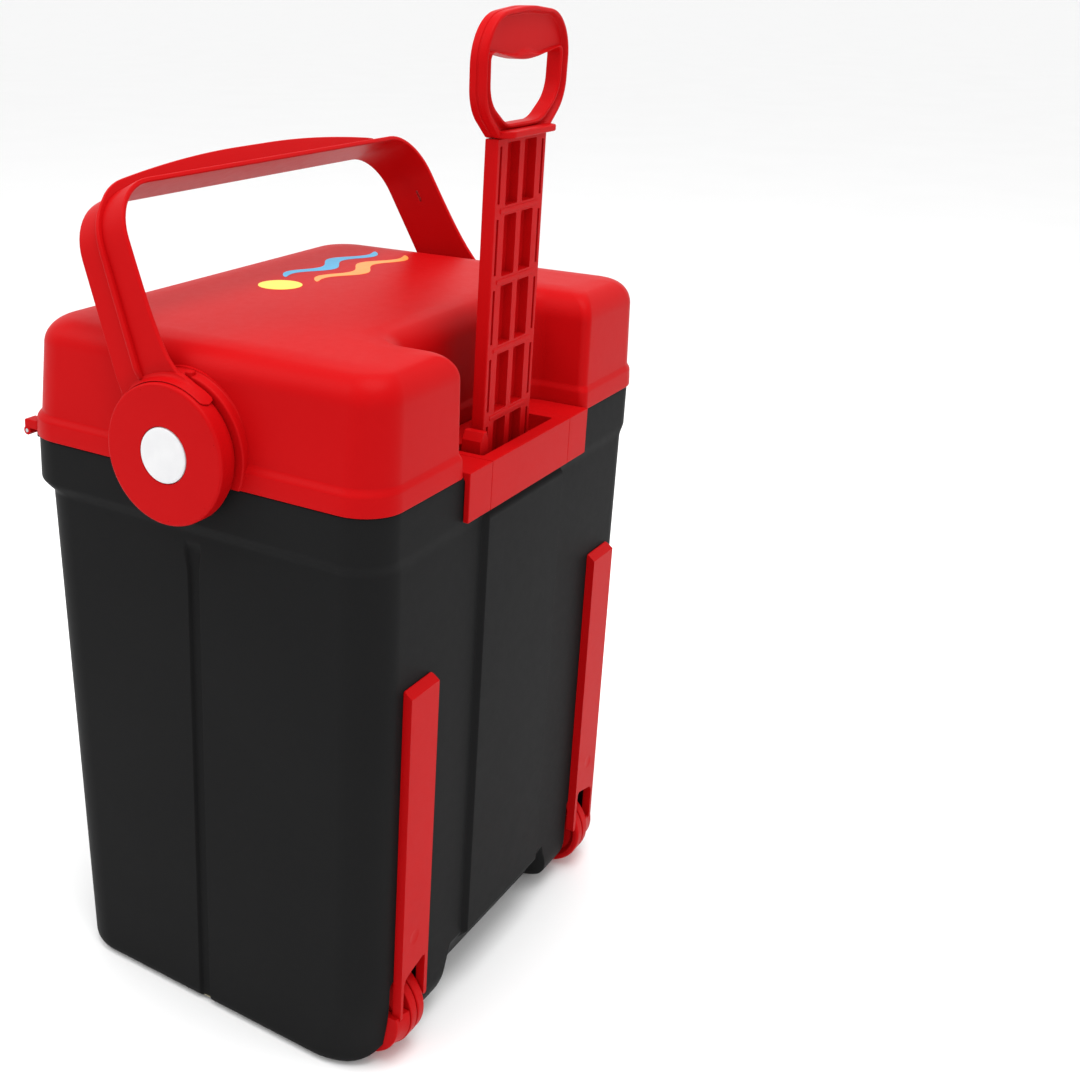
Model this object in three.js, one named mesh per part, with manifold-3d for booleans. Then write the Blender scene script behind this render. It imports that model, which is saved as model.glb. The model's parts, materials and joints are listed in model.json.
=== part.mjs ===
// Rolling cooler: a double-walled tub with a domed lid, a swinging carry handle,
// a telescoping pull handle and two wheels let into its back bottom corners.
// Millimetres. +Z is up, the hinged front faces -Y and the wheels and pull handle are at +Y.
// The origin is on the floor, under the middle of the whole object.
import * as THREE from 'three';
import { mergeVertices } from 'three/addons/utils/BufferGeometryUtils.js';
import Module from 'manifold-3d';

const wasm = await Module();
wasm.setup();

// ---------- driving dimensions ----------
const GAP = 0.4; // air between pieces that touch or turn on each other
const WALL = 3; // moulded shell thickness

// outer shell of the tub
const RIM_Z = 422.6; // top of the tub's rim
const RIM_X = 199; // half width at the rim
const RIM_Y = 150; // half depth at the rim, and the upright back face
const BAND_BOTTOM_Z = 391; // lower edge of the thick band under the rim
const BAND_STEP = 4.2; // how far the end walls step in under the band
const FRONT_STEP = 8; // how far the front steps in under the band
const BASE_X = 188.5; // half width at the floor
const BASE_FRONT_Y = -124; // front face at the floor; only the front leans
const BACK_Y = 149; // upright back face under the band
const FRONT_CORNER = 34; // radius of the upright corners at the front
const BACK_CORNER = 29; // radius of the upright corners at the back
const FLOOR_CORNER = 48; // the back corners open out to this at the floor
const FLOOR_CORNER_Z = 60; // height where that opening out starts
const BACK_SWEEP = 32; // radius where the back curls under
const FOOT_HEIGHT = 2.2; // the four corner feet stand this far below the floor pan

// details of the back
const PANEL_X = 56; // half width of the raised back panel
const PANEL_BEVEL = 6;
const PANEL_Y = 153; // outer face of the raised panel
const ARCH_TOP_Z = 50; // arch cut under the back, between the wheels
const ARCH_TOP_X = 80;
const ARCH_BASE_X = 99;
const ARCH_BASE_Y = 125;

// inner liner
const CAVITY_TOP_X = 176;
const CAVITY_BASE_X = 163;
const CAVITY_FRONT_TOP_Y = -128;
const CAVITY_FRONT_BASE_Y = -101;
const CAVITY_BACK_TOP_Y = 84;
const CAVITY_BACK_BASE_Y = 80;
const CAVITY_FLOOR_Z = 24.5;
const LINER_WALL = 2;
const CAVITY_CORNER = 24;

// lid
const LID_BASE_Z = 423;
const LID_X = 200;
const LID_Y = 151.5;
const NOTCH_X = 91.7; // half width of the recess in the lid's back edge
const NOTCH_Y = 97; // inner wall of the recess
const NOTCH_CORNER = 6; // rounding of the recess's outer corners
const NOTCH_INNER_CORNER = 20;
// [height, how far the front and ends have drawn in from the rim, how far the back has]
const LID_PROFILE = [
  [423, 0, 0],
  [436, 0.6, 0.6],
  [440, 3.6, 2.4],
  [472, 5.2, 2.9],
  [487, 7.4, 3.3],
  [497, 12, 5.4],
  [503.5, 18.5, 10.5],
  [507.5, 27, 18],
  [509.5, 40, 30],
];

// lid hinge, along the front edge
const HINGE_Y = -155.1;
const HINGE_Z = 421.5;
const KNUCKLE_R = 3.4;
const HINGE_PIN_R = 1.4;
const HINGE_LUG = 9; // height of the lugs above and below the hinge line
const HINGE_NEAR_X = 152;
const KNUCKLE_LENGTH = 11.4;
const KNUCKLE_PITCH = 11.8;

// carry handle, turning on bosses at the lid's ends
const PIVOT_Y = 0;
const PIVOT_Z = 442;
const HANDLE_TILT = 26.3; // degrees forward of upright as it stands
const BOSS_R = 52;
const BOSS_X = 200.9;
const COLLAR_X0 = 201.4;
const COLLAR_X1 = 205.3;
const COLLAR_R = 45.5;
const STRAP_HALF_WIDTH = 22;
const STRAP_SHIFT = -5; // the strap's middle line passes this far in front of the pivot
const STRAP_THICKNESS = 3.6;
const GRIP_HEIGHT = 176; // from the pivot to the top of the strap
const SHOULDER_X = 186; // half width where the legs start to bend into the grip
const HUB_X0 = 205.8;
const HUB_X1 = 218;
const HUB_R = 48;
const CAP_R = 19.2;
const POST_R = 11;

// pull handle
const SHAFT_HALF_WIDTH = 35.5;
const SHAFT_Y0 = 123.9;
const SHAFT_Y1 = 133.4;
const SHAFT_TOP_Z = 634;
const SHAFT_BOTTOM_Z = 365;
const BAY_PITCH = 47.6; // spacing of the shaft's cross ribs
const BAY_COUNT = 5;
const GRIP_TOP_Z = 716;
const GRIP_HALF_WIDTH = 62;

// pull handle bracket on the tub's back edge
const BRACKET_X = 91.3;
const BRACKET_TOP_Z = 426;
const BRACKET_Y = 154.5;
const TRAY_X = 53.5;
const TRAY_Y0 = 119;
const TRAY_Y1 = 143.5;
const TRAY_FLOOR_Z = 412;
const GUIDE_BOTTOM_Z = 146;
const RUNNING = 0.7; // clearance of the shaft in its guide

// wheels and their guards
const WHEEL_R = 32.5;
const WHEEL_Y = 126;
const WHEEL_Z = 33;
const WHEEL_X0 = 129;
const WHEEL_X1 = 156;
const TREAD_X1 = 147;
const AXLE_R = 3;
const POCKET_X0 = 121.8;
const POCKET_X1 = 163;
const POCKET_Y0 = 91;
const POCKET_Z1 = 69;
const GUARD_X0 = 123.6;
const GUARD_X1 = 159.2;
const GUARD_Y1 = 156;
const GUARD_TOP_Z = 295;
const GUARD_NOTCH_Z = 74;
const GUARD_LEG_Z = 37; // bottom of the outer leg
const CHEEK_R = 29.8; // rim that runs on from the outer leg, beside the tread
const CHEEK_WALL = 2.6;

const CORNER_STEPS = 4; // facets in a quarter-round corner
const ROUND_STEPS = 28; // facets in a full circle

// ---------- finishes ----------
const finish = (color, roughness, metalness = 0) =>
  new THREE.MeshStandardMaterial({ color, roughness, metalness });
const redPlastic = () => finish(0xc62327, 0.42);
const blackPlastic = () => finish(0x262626, 0.6);
const linerPlastic = () => finish(0xe9eaec, 0.45);
const whitePlastic = () => finish(0xf4f4f4, 0.35);
const foamFill = () => finish(0xe8dcae, 0.95);
const steel = () => finish(0xa9adb2, 0.32, 0.9);

// ---------- solids ----------
function toSolid(geometry) {
  const bare = geometry.clone();
  for (const name of ['normal', 'uv']) bare.deleteAttribute(name);
  const merged = mergeVertices(bare, 1e-4);
  return new wasm.Manifold(
    new wasm.Mesh({
      numProp: 3,
      vertProperties: new Float32Array(merged.attributes.position.array),
      triVerts: new Uint32Array(merged.index.array),
    }),
  );
}

function toGeometry(solid) {
  const mesh = solid.getMesh();
  const geometry = new THREE.BufferGeometry();
  geometry.setAttribute('position', new THREE.BufferAttribute(mesh.vertProperties, 3));
  geometry.setIndex(new THREE.BufferAttribute(mesh.triVerts, 1));
  return geometry;
}

const union = (solids) => solids.reduce((sum, solid) => sum.add(solid));

function box(x0, x1, y0, y1, z0, z1) {
  const geometry = new THREE.BoxGeometry(x1 - x0, y1 - y0, z1 - z0);
  geometry.translate((x0 + x1) / 2, (y0 + y1) / 2, (z0 + z1) / 2);
  return toSolid(geometry);
}

// a round bar along X
function barX(x0, x1, y, z, radius, steps = ROUND_STEPS) {
  const geometry = new THREE.CylinderGeometry(radius, radius, x1 - x0, steps);
  geometry.rotateZ(-Math.PI / 2);
  geometry.translate((x0 + x1) / 2, y, z);
  return toSolid(geometry);
}

// a profile of [x, radius] points turned about an axis along X
function turnedX(profile, y, z, steps = ROUND_STEPS) {
  const points = profile.map(([x, radius]) => new THREE.Vector2(radius, x));
  const geometry = new THREE.LatheGeometry(points, steps);
  geometry.rotateZ(-Math.PI / 2);
  geometry.translate(0, y, z);
  const solid = toSolid(geometry);
  return solid.volume() > 0 ? solid : toSolid(flipped(geometry));
}

function flipped(geometry) {
  const other = geometry.clone();
  const index = other.index.array;
  for (let i = 0; i < index.length; i += 3) [index[i], index[i + 1]] = [index[i + 1], index[i]];
  return other;
}

// a closed solid through level outlines that all have the same number of points
function loft(levels) {
  const count = levels[0].points.length;
  const positions = levels.flatMap(({ points, z }) => points.flatMap((p) => [p.x, p.y, z]));
  const index = [];
  for (let level = 0; level + 1 < levels.length; level += 1) {
    for (let i = 0; i < count; i += 1) {
      const a = level * count + i;
      const b = level * count + ((i + 1) % count);
      index.push(a, b, b + count, a, b + count, a + count);
    }
  }
  const last = (levels.length - 1) * count;
  for (const [a, b, c] of THREE.ShapeUtils.triangulateShape(levels[0].points, [])) index.push(c, b, a);
  for (const [a, b, c] of THREE.ShapeUtils.triangulateShape(levels.at(-1).points, [])) {
    index.push(last + a, last + b, last + c);
  }
  const geometry = new THREE.BufferGeometry();
  geometry.setAttribute('position', new THREE.Float32BufferAttribute(positions, 3));
  geometry.setIndex(index);
  return toSolid(geometry);
}

// a closed outline, anticlockwise, with each [x, y, radius] corner rounded
function roundedOutline(corners, steps = CORNER_STEPS) {
  const points = [];
  corners.forEach(([x, y, radius], i) => {
    const corner = new THREE.Vector2(x, y);
    const before = new THREE.Vector2(...corners.at(i - 1));
    const after = new THREE.Vector2(...corners[(i + 1) % corners.length]);
    const back = before.sub(corner).normalize();
    const ahead = after.sub(corner).normalize();
    const half = Math.acos(THREE.MathUtils.clamp(back.dot(ahead), -1, 1)) / 2;
    const reach = radius / Math.tan(half);
    const start = corner.clone().addScaledVector(back, reach);
    const middle = back.clone().add(ahead).normalize();
    const centre = corner.clone().addScaledVector(middle, radius / Math.sin(half));
    const turn = Math.sign(ahead.cross(back)) * (Math.PI - 2 * half);
    const arm = start.sub(centre);
    for (let s = 0; s <= steps; s += 1) {
      points.push(arm.clone().rotateAround(new THREE.Vector2(), (turn * s) / steps).add(centre));
    }
  });
  return points;
}

function roundedBoxOutline(x0, x1, y0, y1, radius, steps = CORNER_STEPS) {
  const corners = [
    [x0, y0, radius],
    [x1, y0, radius],
    [x1, y1, radius],
    [x0, y1, radius],
  ];
  return roundedOutline(corners, steps);
}

// an outline in the XZ or YZ plane pushed along the third axis
function prismAlong(axis, outline, from, to) {
  const geometry = new THREE.ExtrudeGeometry(new THREE.Shape(outline), {
    depth: to - from,
    bevelEnabled: false,
  });
  const place = new THREE.Matrix4();
  if (axis === 'x') place.set(0, 0, 1, from, 1, 0, 0, 0, 0, 1, 0, 0, 0, 0, 0, 1);
  if (axis === 'y') place.set(1, 0, 0, 0, 0, 0, -1, to, 0, 1, 0, 0, 0, 0, 0, 1);
  if (axis === 'z') place.makeTranslation(0, 0, from);
  geometry.applyMatrix4(place);
  return toSolid(geometry);
}

const mirrorX = (solid) => solid.mirror([1, 0, 0]);
const mix = (a, b, t) => a + (b - a) * t;

// ---------- tub ----------
// the tub's outside at a height, drawn in by an inset
function shellOutline(z, inset) {
  const inBand = z > BAND_BOTTOM_Z;
  const t = Math.min(1, z / BAND_BOTTOM_Z);
  const x = (inBand ? RIM_X : mix(BASE_X, RIM_X - BAND_STEP, t)) - inset;
  const front = (inBand ? -RIM_Y : mix(BASE_FRONT_Y, -RIM_Y + FRONT_STEP, t)) + inset;
  const back = (inBand ? RIM_Y : BACK_Y) - inset;
  const frontR = FRONT_CORNER - inset;
  const backR = mix(FLOOR_CORNER, BACK_CORNER, Math.min(1, z / FLOOR_CORNER_Z)) - inset;
  return roundedOutline([
    [-x, front, frontR],
    [x, front, frontR],
    [x, back, backR],
    [-x, back, backR],
  ]);
}

const SHELL_LEVELS = [0, FLOOR_CORNER_Z, BAND_BOTTOM_Z - 10, BAND_BOTTOM_Z + 1, RIM_Z];

// the region between the curled-under back corner and the floor
function backSweepCut(inset) {
  const radius = BACK_SWEEP - inset;
  const centreY = BACK_Y - BACK_SWEEP;
  const outline = [new THREE.Vector2(centreY, -5)];
  outline.push(new THREE.Vector2(BACK_Y + 20, -5));
  outline.push(new THREE.Vector2(BACK_Y + 20, BACK_SWEEP));
  const steps = 6;
  for (let s = 0; s <= steps; s += 1) {
    const angle = (-Math.PI / 2) * (s / steps);
    const y = centreY + radius * Math.cos(angle);
    outline.push(new THREE.Vector2(y, BACK_SWEEP + radius * Math.sin(angle)));
  }
  return prismAlong('x', outline, -RIM_X - 5, RIM_X + 5);
}

function archCut(margin) {
  const level = (z, x, y) => ({ z, points: roundedBoxOutline(-x, x, y, BACK_Y + 30, 1, 1) });
  return loft([
    level(-2 - margin, ARCH_BASE_X + margin, ARCH_BASE_Y - margin),
    level(ARCH_TOP_Z - 12, ARCH_TOP_X + 5 + margin, ARCH_BASE_Y + 18 - margin),
    level(ARCH_TOP_Z + margin, ARCH_TOP_X - 6 + margin, BACK_Y - 1 - margin),
  ]);
}

function wheelPockets(margin) {
  const near = box(
    POCKET_X0 - margin,
    POCKET_X1 + margin,
    POCKET_Y0 - margin,
    BACK_Y + 30,
    -10,
    POCKET_Z1 + margin,
  );
  return near.add(mirrorX(near));
}

// the bracket's seat: a shelf in the rim and a well for its tray
function bracketSeat(margin) {
  const shelf = prismAlong('z', bracketPlan(margin), BRACKET_TOP_Z - 5.5 - margin, RIM_Z + 10);
  const well = box(
    -TRAY_X - 2.5 - margin,
    TRAY_X + 2.5 + margin,
    TRAY_Y0 - 2.5 - margin,
    TRAY_Y1 + 2.5 + margin,
    TRAY_FLOOR_Z - 2.5 - margin,
    RIM_Z + 10,
  );
  return shelf.add(well);
}

// everything between the tub's outer wall and the world
function outerVolume() {
  const levels = SHELL_LEVELS.map((z) => ({ z, points: shellOutline(z, 0) }));
  const panel = prismAlong(
    'z',
    [
      new THREE.Vector2(-PANEL_X - PANEL_BEVEL, BACK_Y - 1),
      new THREE.Vector2(PANEL_X + PANEL_BEVEL, BACK_Y - 1),
      new THREE.Vector2(PANEL_X, PANEL_Y),
      new THREE.Vector2(-PANEL_X, PANEL_Y),
    ],
    ARCH_TOP_Z - 20,
    BAND_BOTTOM_Z - 1,
  );
  return loft(levels).add(panel).subtract(archCut(0));
}

// the hollow inside the tub's outer wall
function innerVolume() {
  const levels = SHELL_LEVELS.map((z) => ({ z: z === 0 ? WALL : z, points: shellOutline(z, WALL) }));
  levels.push({ z: RIM_Z + 5, points: shellOutline(RIM_Z, WALL) });
  return loft(levels)
    .subtract(archCut(WALL))
    .subtract(backSweepCut(WALL))
    .subtract(wheelPockets(WALL));
}

function endGroove() {
  const halfWidth = 4.5;
  const depth = 3;
  const level = (z, x) => ({
    z,
    points: roundedBoxOutline(x - depth, x + 20, 4 - halfWidth, 4 + halfWidth, 1, 1),
  });
  const topX = mix(BASE_X, RIM_X - BAND_STEP, (BAND_BOTTOM_Z - 16) / BAND_BOTTOM_Z);
  return loft([level(-5, BASE_X), level(BAND_BOTTOM_Z - 16, topX)]);
}

function liftedFloorCut() {
  const sidesX = RIM_X + 5;
  const between = box(-sidesX, sidesX, -84, 78, -5, FOOT_HEIGHT);
  const centre = box(-150, 150, BASE_FRONT_Y + 18, 106, -5, FOOT_HEIGHT);
  return between.add(centre);
}

function outerShell() {
  const groove = endGroove();
  const axleHoles = barX(-POCKET_X1 - 3.7, POCKET_X1 + 3.7, WHEEL_Y, WHEEL_Z, AXLE_R + GAP, 16);
  const knuckle = bodyKnuckles();
  return outerVolume()
    .subtract(backSweepCut(0))
    .subtract(wheelPockets(0))
    .subtract(innerVolume())
    .subtract(groove)
    .subtract(mirrorX(groove))
    .subtract(liftedFloorCut())
    .subtract(bracketSeat(GAP))
    .subtract(axleHoles)
    .add(knuckle);
}

// cavity outline of the liner at a height, grown outward by a margin
function cavityOutline(z, grow) {
  const t = (z - CAVITY_FLOOR_Z) / (RIM_Z - CAVITY_FLOOR_Z);
  const halfX = mix(CAVITY_BASE_X, CAVITY_TOP_X, t) + grow;
  const front = mix(CAVITY_FRONT_BASE_Y, CAVITY_FRONT_TOP_Y, t) - grow;
  const back = mix(CAVITY_BACK_BASE_Y, CAVITY_BACK_TOP_Y, t) + grow;
  return roundedBoxOutline(-halfX, halfX, front, back, CAVITY_CORNER + grow);
}

function cavity(grow) {
  return loft([
    { z: CAVITY_FLOOR_Z - grow, points: cavityOutline(CAVITY_FLOOR_Z + 8, grow - 8) },
    { z: CAVITY_FLOOR_Z - grow + 8, points: cavityOutline(CAVITY_FLOOR_Z + 8, grow) },
    { z: RIM_Z + 10, points: cavityOutline(RIM_Z + 10, grow) },
  ]);
}

function innerLiner() {
  const edge = shellOutline(RIM_Z, WALL + GAP);
  const flange = loft([
    { z: RIM_Z - WALL, points: edge },
    { z: RIM_Z, points: edge },
  ]).subtract(bracketSeat(2 * GAP));
  const above = box(-RIM_X, RIM_X, -RIM_Y, RIM_Y, RIM_Z, RIM_Z + 20);
  return cavity(LINER_WALL).subtract(above).add(flange).subtract(cavity(0));
}

function bodyFoam() {
  const levels = SHELL_LEVELS.map((z) => ({
    z: z === 0 ? WALL + GAP : Math.min(z, RIM_Z - WALL - GAP),
    points: shellOutline(z, WALL + GAP),
  }));
  const guide = box(
    -SHAFT_HALF_WIDTH - 4,
    SHAFT_HALF_WIDTH + 4,
    SHAFT_Y0 - 4,
    SHAFT_Y1 + 4,
    GUIDE_BOTTOM_Z - 2,
    RIM_Z,
  );
  return loft(levels)
    .subtract(archCut(WALL + GAP))
    .subtract(backSweepCut(WALL + GAP))
    .subtract(wheelPockets(WALL + GAP))
    .subtract(cavity(LINER_WALL + GAP))
    .subtract(bracketSeat(2 * GAP))
    .subtract(guide);
}

// ---------- pull handle ----------
const shaftPassage = (z0, z1) =>
  box(
    -SHAFT_HALF_WIDTH - RUNNING,
    SHAFT_HALF_WIDTH + RUNNING,
    SHAFT_Y0 - RUNNING,
    SHAFT_Y1 + RUNNING,
    z0,
    z1,
  );

function shaftGuide() {
  const wall = 2;
  const side = SHAFT_HALF_WIDTH + RUNNING + wall;
  const top = TRAY_FLOOR_Z - 2.5 - 3 * GAP;
  const tube = box(
    -side,
    side,
    SHAFT_Y0 - RUNNING - wall,
    SHAFT_Y1 + RUNNING + wall,
    GUIDE_BOTTOM_Z,
    top,
  );
  return tube.subtract(shaftPassage(GUIDE_BOTTOM_Z - 5, top + 5));
}

// plan of the bracket's top plate: it follows the recess in the lid
function bracketPlan(grow) {
  const x = BRACKET_X + grow;
  const inner = NOTCH_Y + 0.6 - grow;
  return roundedOutline([
    [-x, inner, NOTCH_INNER_CORNER],
    [x, inner, NOTCH_INNER_CORNER],
    [x, BRACKET_Y, 0.5],
    [-x, BRACKET_Y, 0.5],
  ]);
}

function handleBracket() {
  const plateBottom = BRACKET_TOP_Z - 5.5;
  const front = box(-BRACKET_X, BRACKET_X, PANEL_Y - 2.6, BRACKET_Y, BAND_BOTTOM_Z, BRACKET_TOP_Z);
  const top = prismAlong('z', bracketPlan(0), plateBottom, BRACKET_TOP_Z);
  const tub = box(
    -TRAY_X - 2.5,
    TRAY_X + 2.5,
    TRAY_Y0 - 2.5,
    TRAY_Y1 + 2.5,
    TRAY_FLOOR_Z - 2.5,
    BRACKET_TOP_Z,
  );
  const tray = box(-TRAY_X, TRAY_X, TRAY_Y0, TRAY_Y1, TRAY_FLOOR_Z, BRACKET_TOP_Z + 5);
  return union([front, top, tub])
    .subtract(tray)
    .subtract(shaftPassage(TRAY_FLOOR_Z - 5, TRAY_FLOOR_Z + 5));
}

// a chamfered block beside the shaft; its nose bears on the shaft's edge
function shaftCatch() {
  const nose = SHAFT_HALF_WIDTH + RUNNING + 0.6;
  const heel = nose + 12;
  const outline = [
    [nose, TRAY_FLOOR_Z + GAP],
    [heel, TRAY_FLOOR_Z + GAP],
    [heel, TRAY_FLOOR_Z + 22],
    [heel - 4, TRAY_FLOOR_Z + 27],
    [nose + 3, TRAY_FLOOR_Z + 27],
    [nose, TRAY_FLOOR_Z + 21],
  ].map(([x, z]) => new THREE.Vector2(x, z));
  return prismAlong('y', outline, 124, 139);
}

function pullShaft() {
  const top = SHAFT_TOP_Z;
  const body = box(
    -SHAFT_HALF_WIDTH,
    SHAFT_HALF_WIDTH,
    SHAFT_Y0,
    SHAFT_Y1,
    SHAFT_BOTTOM_Z,
    top,
  );
  const web = 2.5; // thickness left behind the channels
  const ribHalf = 3.2;
  // channels across the shaft: [inner edge, outer edge] on each side of the middle rib
  const channels = [
    [3.8, 21],
    [28.8, 31.6],
  ];
  let cut = null;
  for (let bay = 0; bay <= BAY_COUNT; bay += 1) {
    const z1 = top - bay * BAY_PITCH - ribHalf;
    const z0 = Math.max(z1 - BAY_PITCH + 2 * ribHalf, SHAFT_BOTTOM_Z + 4);
    if (z1 - z0 < 6) continue;
    for (const side of [-1, 1]) {
      for (const [inner, outer] of channels) {
        const x = [side * inner, side * outer].sort((a, b) => a - b);
        const pocket = box(x[0], x[1], SHAFT_Y0 + web, SHAFT_Y1 + 5, z0, z1);
        cut = cut ? cut.add(pocket) : pocket;
      }
    }
  }
  return body.subtract(cut);
}

function pullGrip() {
  const y0 = SHAFT_Y0 - 1;
  const y1 = SHAFT_Y1 + 1.6;
  const base = SHAFT_TOP_Z + GAP;
  const outer = roundedOutline(
    [
      [-SHAFT_HALF_WIDTH, base, 1],
      [SHAFT_HALF_WIDTH, base, 1],
      [GRIP_HALF_WIDTH - 2, base + 23, 26],
      [GRIP_HALF_WIDTH, GRIP_TOP_Z, 40],
      [-GRIP_HALF_WIDTH, GRIP_TOP_Z, 40],
      [-GRIP_HALF_WIDTH + 2, base + 23, 26],
    ],
    6,
  );
  const hole = roundedBoxOutline(-48, 48, base + 8, GRIP_TOP_Z - 31, 12, 4);
  const ring = prismAlong('y', outer, y0, y1).subtract(prismAlong('y', hole, y0 - 5, y1 + 5));
  const tab = box(-35.5, 35.5, SHAFT_Y1 - 4, SHAFT_Y1 + 9.5, base, base + 4.5);
  return ring.add(tab);
}

// ---------- wheels ----------
function wheelGuard() {
  const back = BACK_Y + GAP;
  const plate = 2.6;
  const body = box(GUARD_X0, GUARD_X1, back, GUARD_Y1, GUARD_LEG_Z, GUARD_TOP_Z);
  const hollow = box(
    GUARD_X0 + plate,
    GUARD_X1 - plate,
    back - 5,
    GUARD_Y1 - plate,
    GUARD_NOTCH_Z + plate,
    GUARD_TOP_Z - plate,
  );
  const notch = box(
    WHEEL_X0 - 1,
    GUARD_X1 - plate,
    back - 5,
    GUARD_Y1 + 5,
    0,
    GUARD_NOTCH_Z,
  );
  const innerFoot = box(GUARD_X0 - 5, WHEEL_X0, back - 5, GUARD_Y1 + 5, 0, WHEEL_Z + 7);
  const slope = prismAlong(
    'x',
    [
      new THREE.Vector2(back - 1, GUARD_TOP_Z + 1),
      new THREE.Vector2(GUARD_Y1 + 1, GUARD_TOP_Z - 5),
      new THREE.Vector2(GUARD_Y1 + 1, GUARD_TOP_Z + 1),
    ],
    GUARD_X0 - 1,
    GUARD_X1 + 1,
  );
  return body.subtract(union([hollow, notch, innerFoot, slope])).add(wheelCheek());
}

// the thin rim below the guard's outer leg, curved round the wheel beside its tread
function wheelCheek() {
  const x0 = TREAD_X1 + 3 * GAP;
  const x1 = POCKET_X1 - GAP;
  const ring = turnedX(
    [
      [x0, CHEEK_R - CHEEK_WALL],
      [x0, CHEEK_R],
      [x1, CHEEK_R],
      [x1, CHEEK_R - CHEEK_WALL],
      [x0, CHEEK_R - CHEEK_WALL],
    ],
    WHEEL_Y,
    WHEEL_Z,
  );
  const kept = box(x0 - 5, x1 + 5, WHEEL_Y - 14, GUARD_Y1 + 5, 0, GUARD_LEG_Z + 4);
  return ring.intersect(kept);
}

function wheelHalf(x0, x1, profile) {
  const bore = AXLE_R + GAP;
  return turnedX(
    [[x0, bore], ...profile, [x1, bore], [x0, bore]],
    WHEEL_Y,
    WHEEL_Z,
  );
}

function innerWheelHalf() {
  const middle = (WHEEL_X0 + TREAD_X1) / 2 + 1;
  return wheelHalf(WHEEL_X0, middle - GAP, [
    [WHEEL_X0, 9],
    [WHEEL_X0 + 3, 11],
    [WHEEL_X0 + 3, 26],
    [WHEEL_X0, 28],
    [WHEEL_X0, WHEEL_R - 2],
    [WHEEL_X0 + 2, WHEEL_R],
    [middle - GAP - 0.8, WHEEL_R],
    [middle - GAP, WHEEL_R - 0.8],
  ]);
}

function outerWheelHalf() {
  const middle = (WHEEL_X0 + TREAD_X1) / 2 + 1;
  return wheelHalf(middle + GAP, WHEEL_X1, [
    [middle + GAP, WHEEL_R - 0.8],
    [middle + GAP + 0.8, WHEEL_R],
    [TREAD_X1, WHEEL_R],
    [TREAD_X1 + GAP, WHEEL_R - 6],
    [WHEEL_X1 - 1, WHEEL_R - 9],
    [WHEEL_X1, WHEEL_R - 10],
    [WHEEL_X1, 20],
    [WHEEL_X1 - 3, 18],
    [WHEEL_X1 - 3, 11],
    [WHEEL_X1, 9],
  ]);
}

// ---------- lid ----------
// the lid's outline with the recess in its back edge, drawn in by an inset
function lidOutline(inset, backInset = inset) {
  const x = LID_X - inset;
  const front = -LID_Y + inset;
  const back = LID_Y - backInset;
  const notchX = NOTCH_X + backInset;
  const notchY = NOTCH_Y - backInset;
  const frontR = Math.max(FRONT_CORNER - 0.5 * inset, 12);
  const backR = Math.max(BACK_CORNER - 0.5 * inset, 10);
  const convexR = NOTCH_CORNER + 0.2 * backInset;
  const concaveR = NOTCH_INNER_CORNER + 0.5 * backInset;
  return roundedOutline([
    [-x, front, frontR],
    [x, front, frontR],
    [x, back, backR],
    [notchX, back, convexR],
    [notchX, notchY, concaveR],
    [-notchX, notchY, concaveR],
    [-notchX, back, convexR],
    [-x, back, backR],
  ]);
}

// the lid's own volume, drawn in by an inset on every side but the bottom
function lidVolume(inset, baseZ) {
  const levels = LID_PROFILE.filter(([z]) => z - inset > baseZ).map(([z, drawn, backDrawn]) => ({
    z: z - inset,
    points: lidOutline(drawn + inset, backDrawn + inset),
  }));
  const { points } = levels[0];
  return loft([{ z: baseZ, points }, ...levels]);
}

function knuckles(indices, webZ0, webZ1, webY) {
  const solids = indices.flatMap((i) => {
    const x0 = HINGE_NEAR_X + i * KNUCKLE_PITCH;
    const x1 = x0 + KNUCKLE_LENGTH;
    return [
      barX(x0, x1, HINGE_Y, HINGE_Z, KNUCKLE_R, 20),
      box(x0, x1, HINGE_Y - KNUCKLE_R + 0.8, webY, webZ0, webZ1),
    ];
  });
  const near = union(solids);
  return near.add(mirrorX(near));
}

const hingeBore = () => {
  const length = 3 * KNUCKLE_PITCH + 5;
  const near = barX(HINGE_NEAR_X - 2, HINGE_NEAR_X + length, HINGE_Y, HINGE_Z, HINGE_PIN_R + GAP, 16);
  return near.add(mirrorX(near));
};

// the middle knuckle of each hinge belongs to the tub
function bodyKnuckles() {
  return knuckles([1], HINGE_Z - HINGE_LUG, HINGE_Z, -RIM_Y + HINGE_LUG)
    .subtract(innerVolume())
    .subtract(hingeBore());
}

function lidKnuckles() {
  const lugTop = HINGE_Z + HINGE_LUG;
  return knuckles([0, 2], LID_BASE_Z + 0.2, lugTop, -LID_Y + HINGE_LUG)
    .subtract(lidVolume(WALL, LID_BASE_Z - 2))
    .subtract(hingeBore());
}

function lidShell() {
  const solid = lidVolume(0, LID_BASE_Z).subtract(lidVolume(WALL, LID_BASE_Z - 2));
  const boss = barX(LID_X - 8, BOSS_X, PIVOT_Y, PIVOT_Z, BOSS_R, 40)
    .subtract(box(0, 300, -200, 200, 0, LID_BASE_Z))
    .subtract(lidVolume(WALL, LID_BASE_Z - 2));
  const post = barX(LID_X - 8, HUB_X0 + 2.8, PIVOT_Y, PIVOT_Z, POST_R);
  const bore = barX(LID_X - 10, HUB_X1, PIVOT_Y, PIVOT_Z, 2.4, 12);
  const near = boss.add(post).subtract(bore);
  return union([solid, near, mirrorX(near), lidKnuckles()])
    .subtract(bore)
    .subtract(mirrorX(bore));
}

const PLUG_DEPTH = 5;
const PLUG_INSET = 4;

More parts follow.
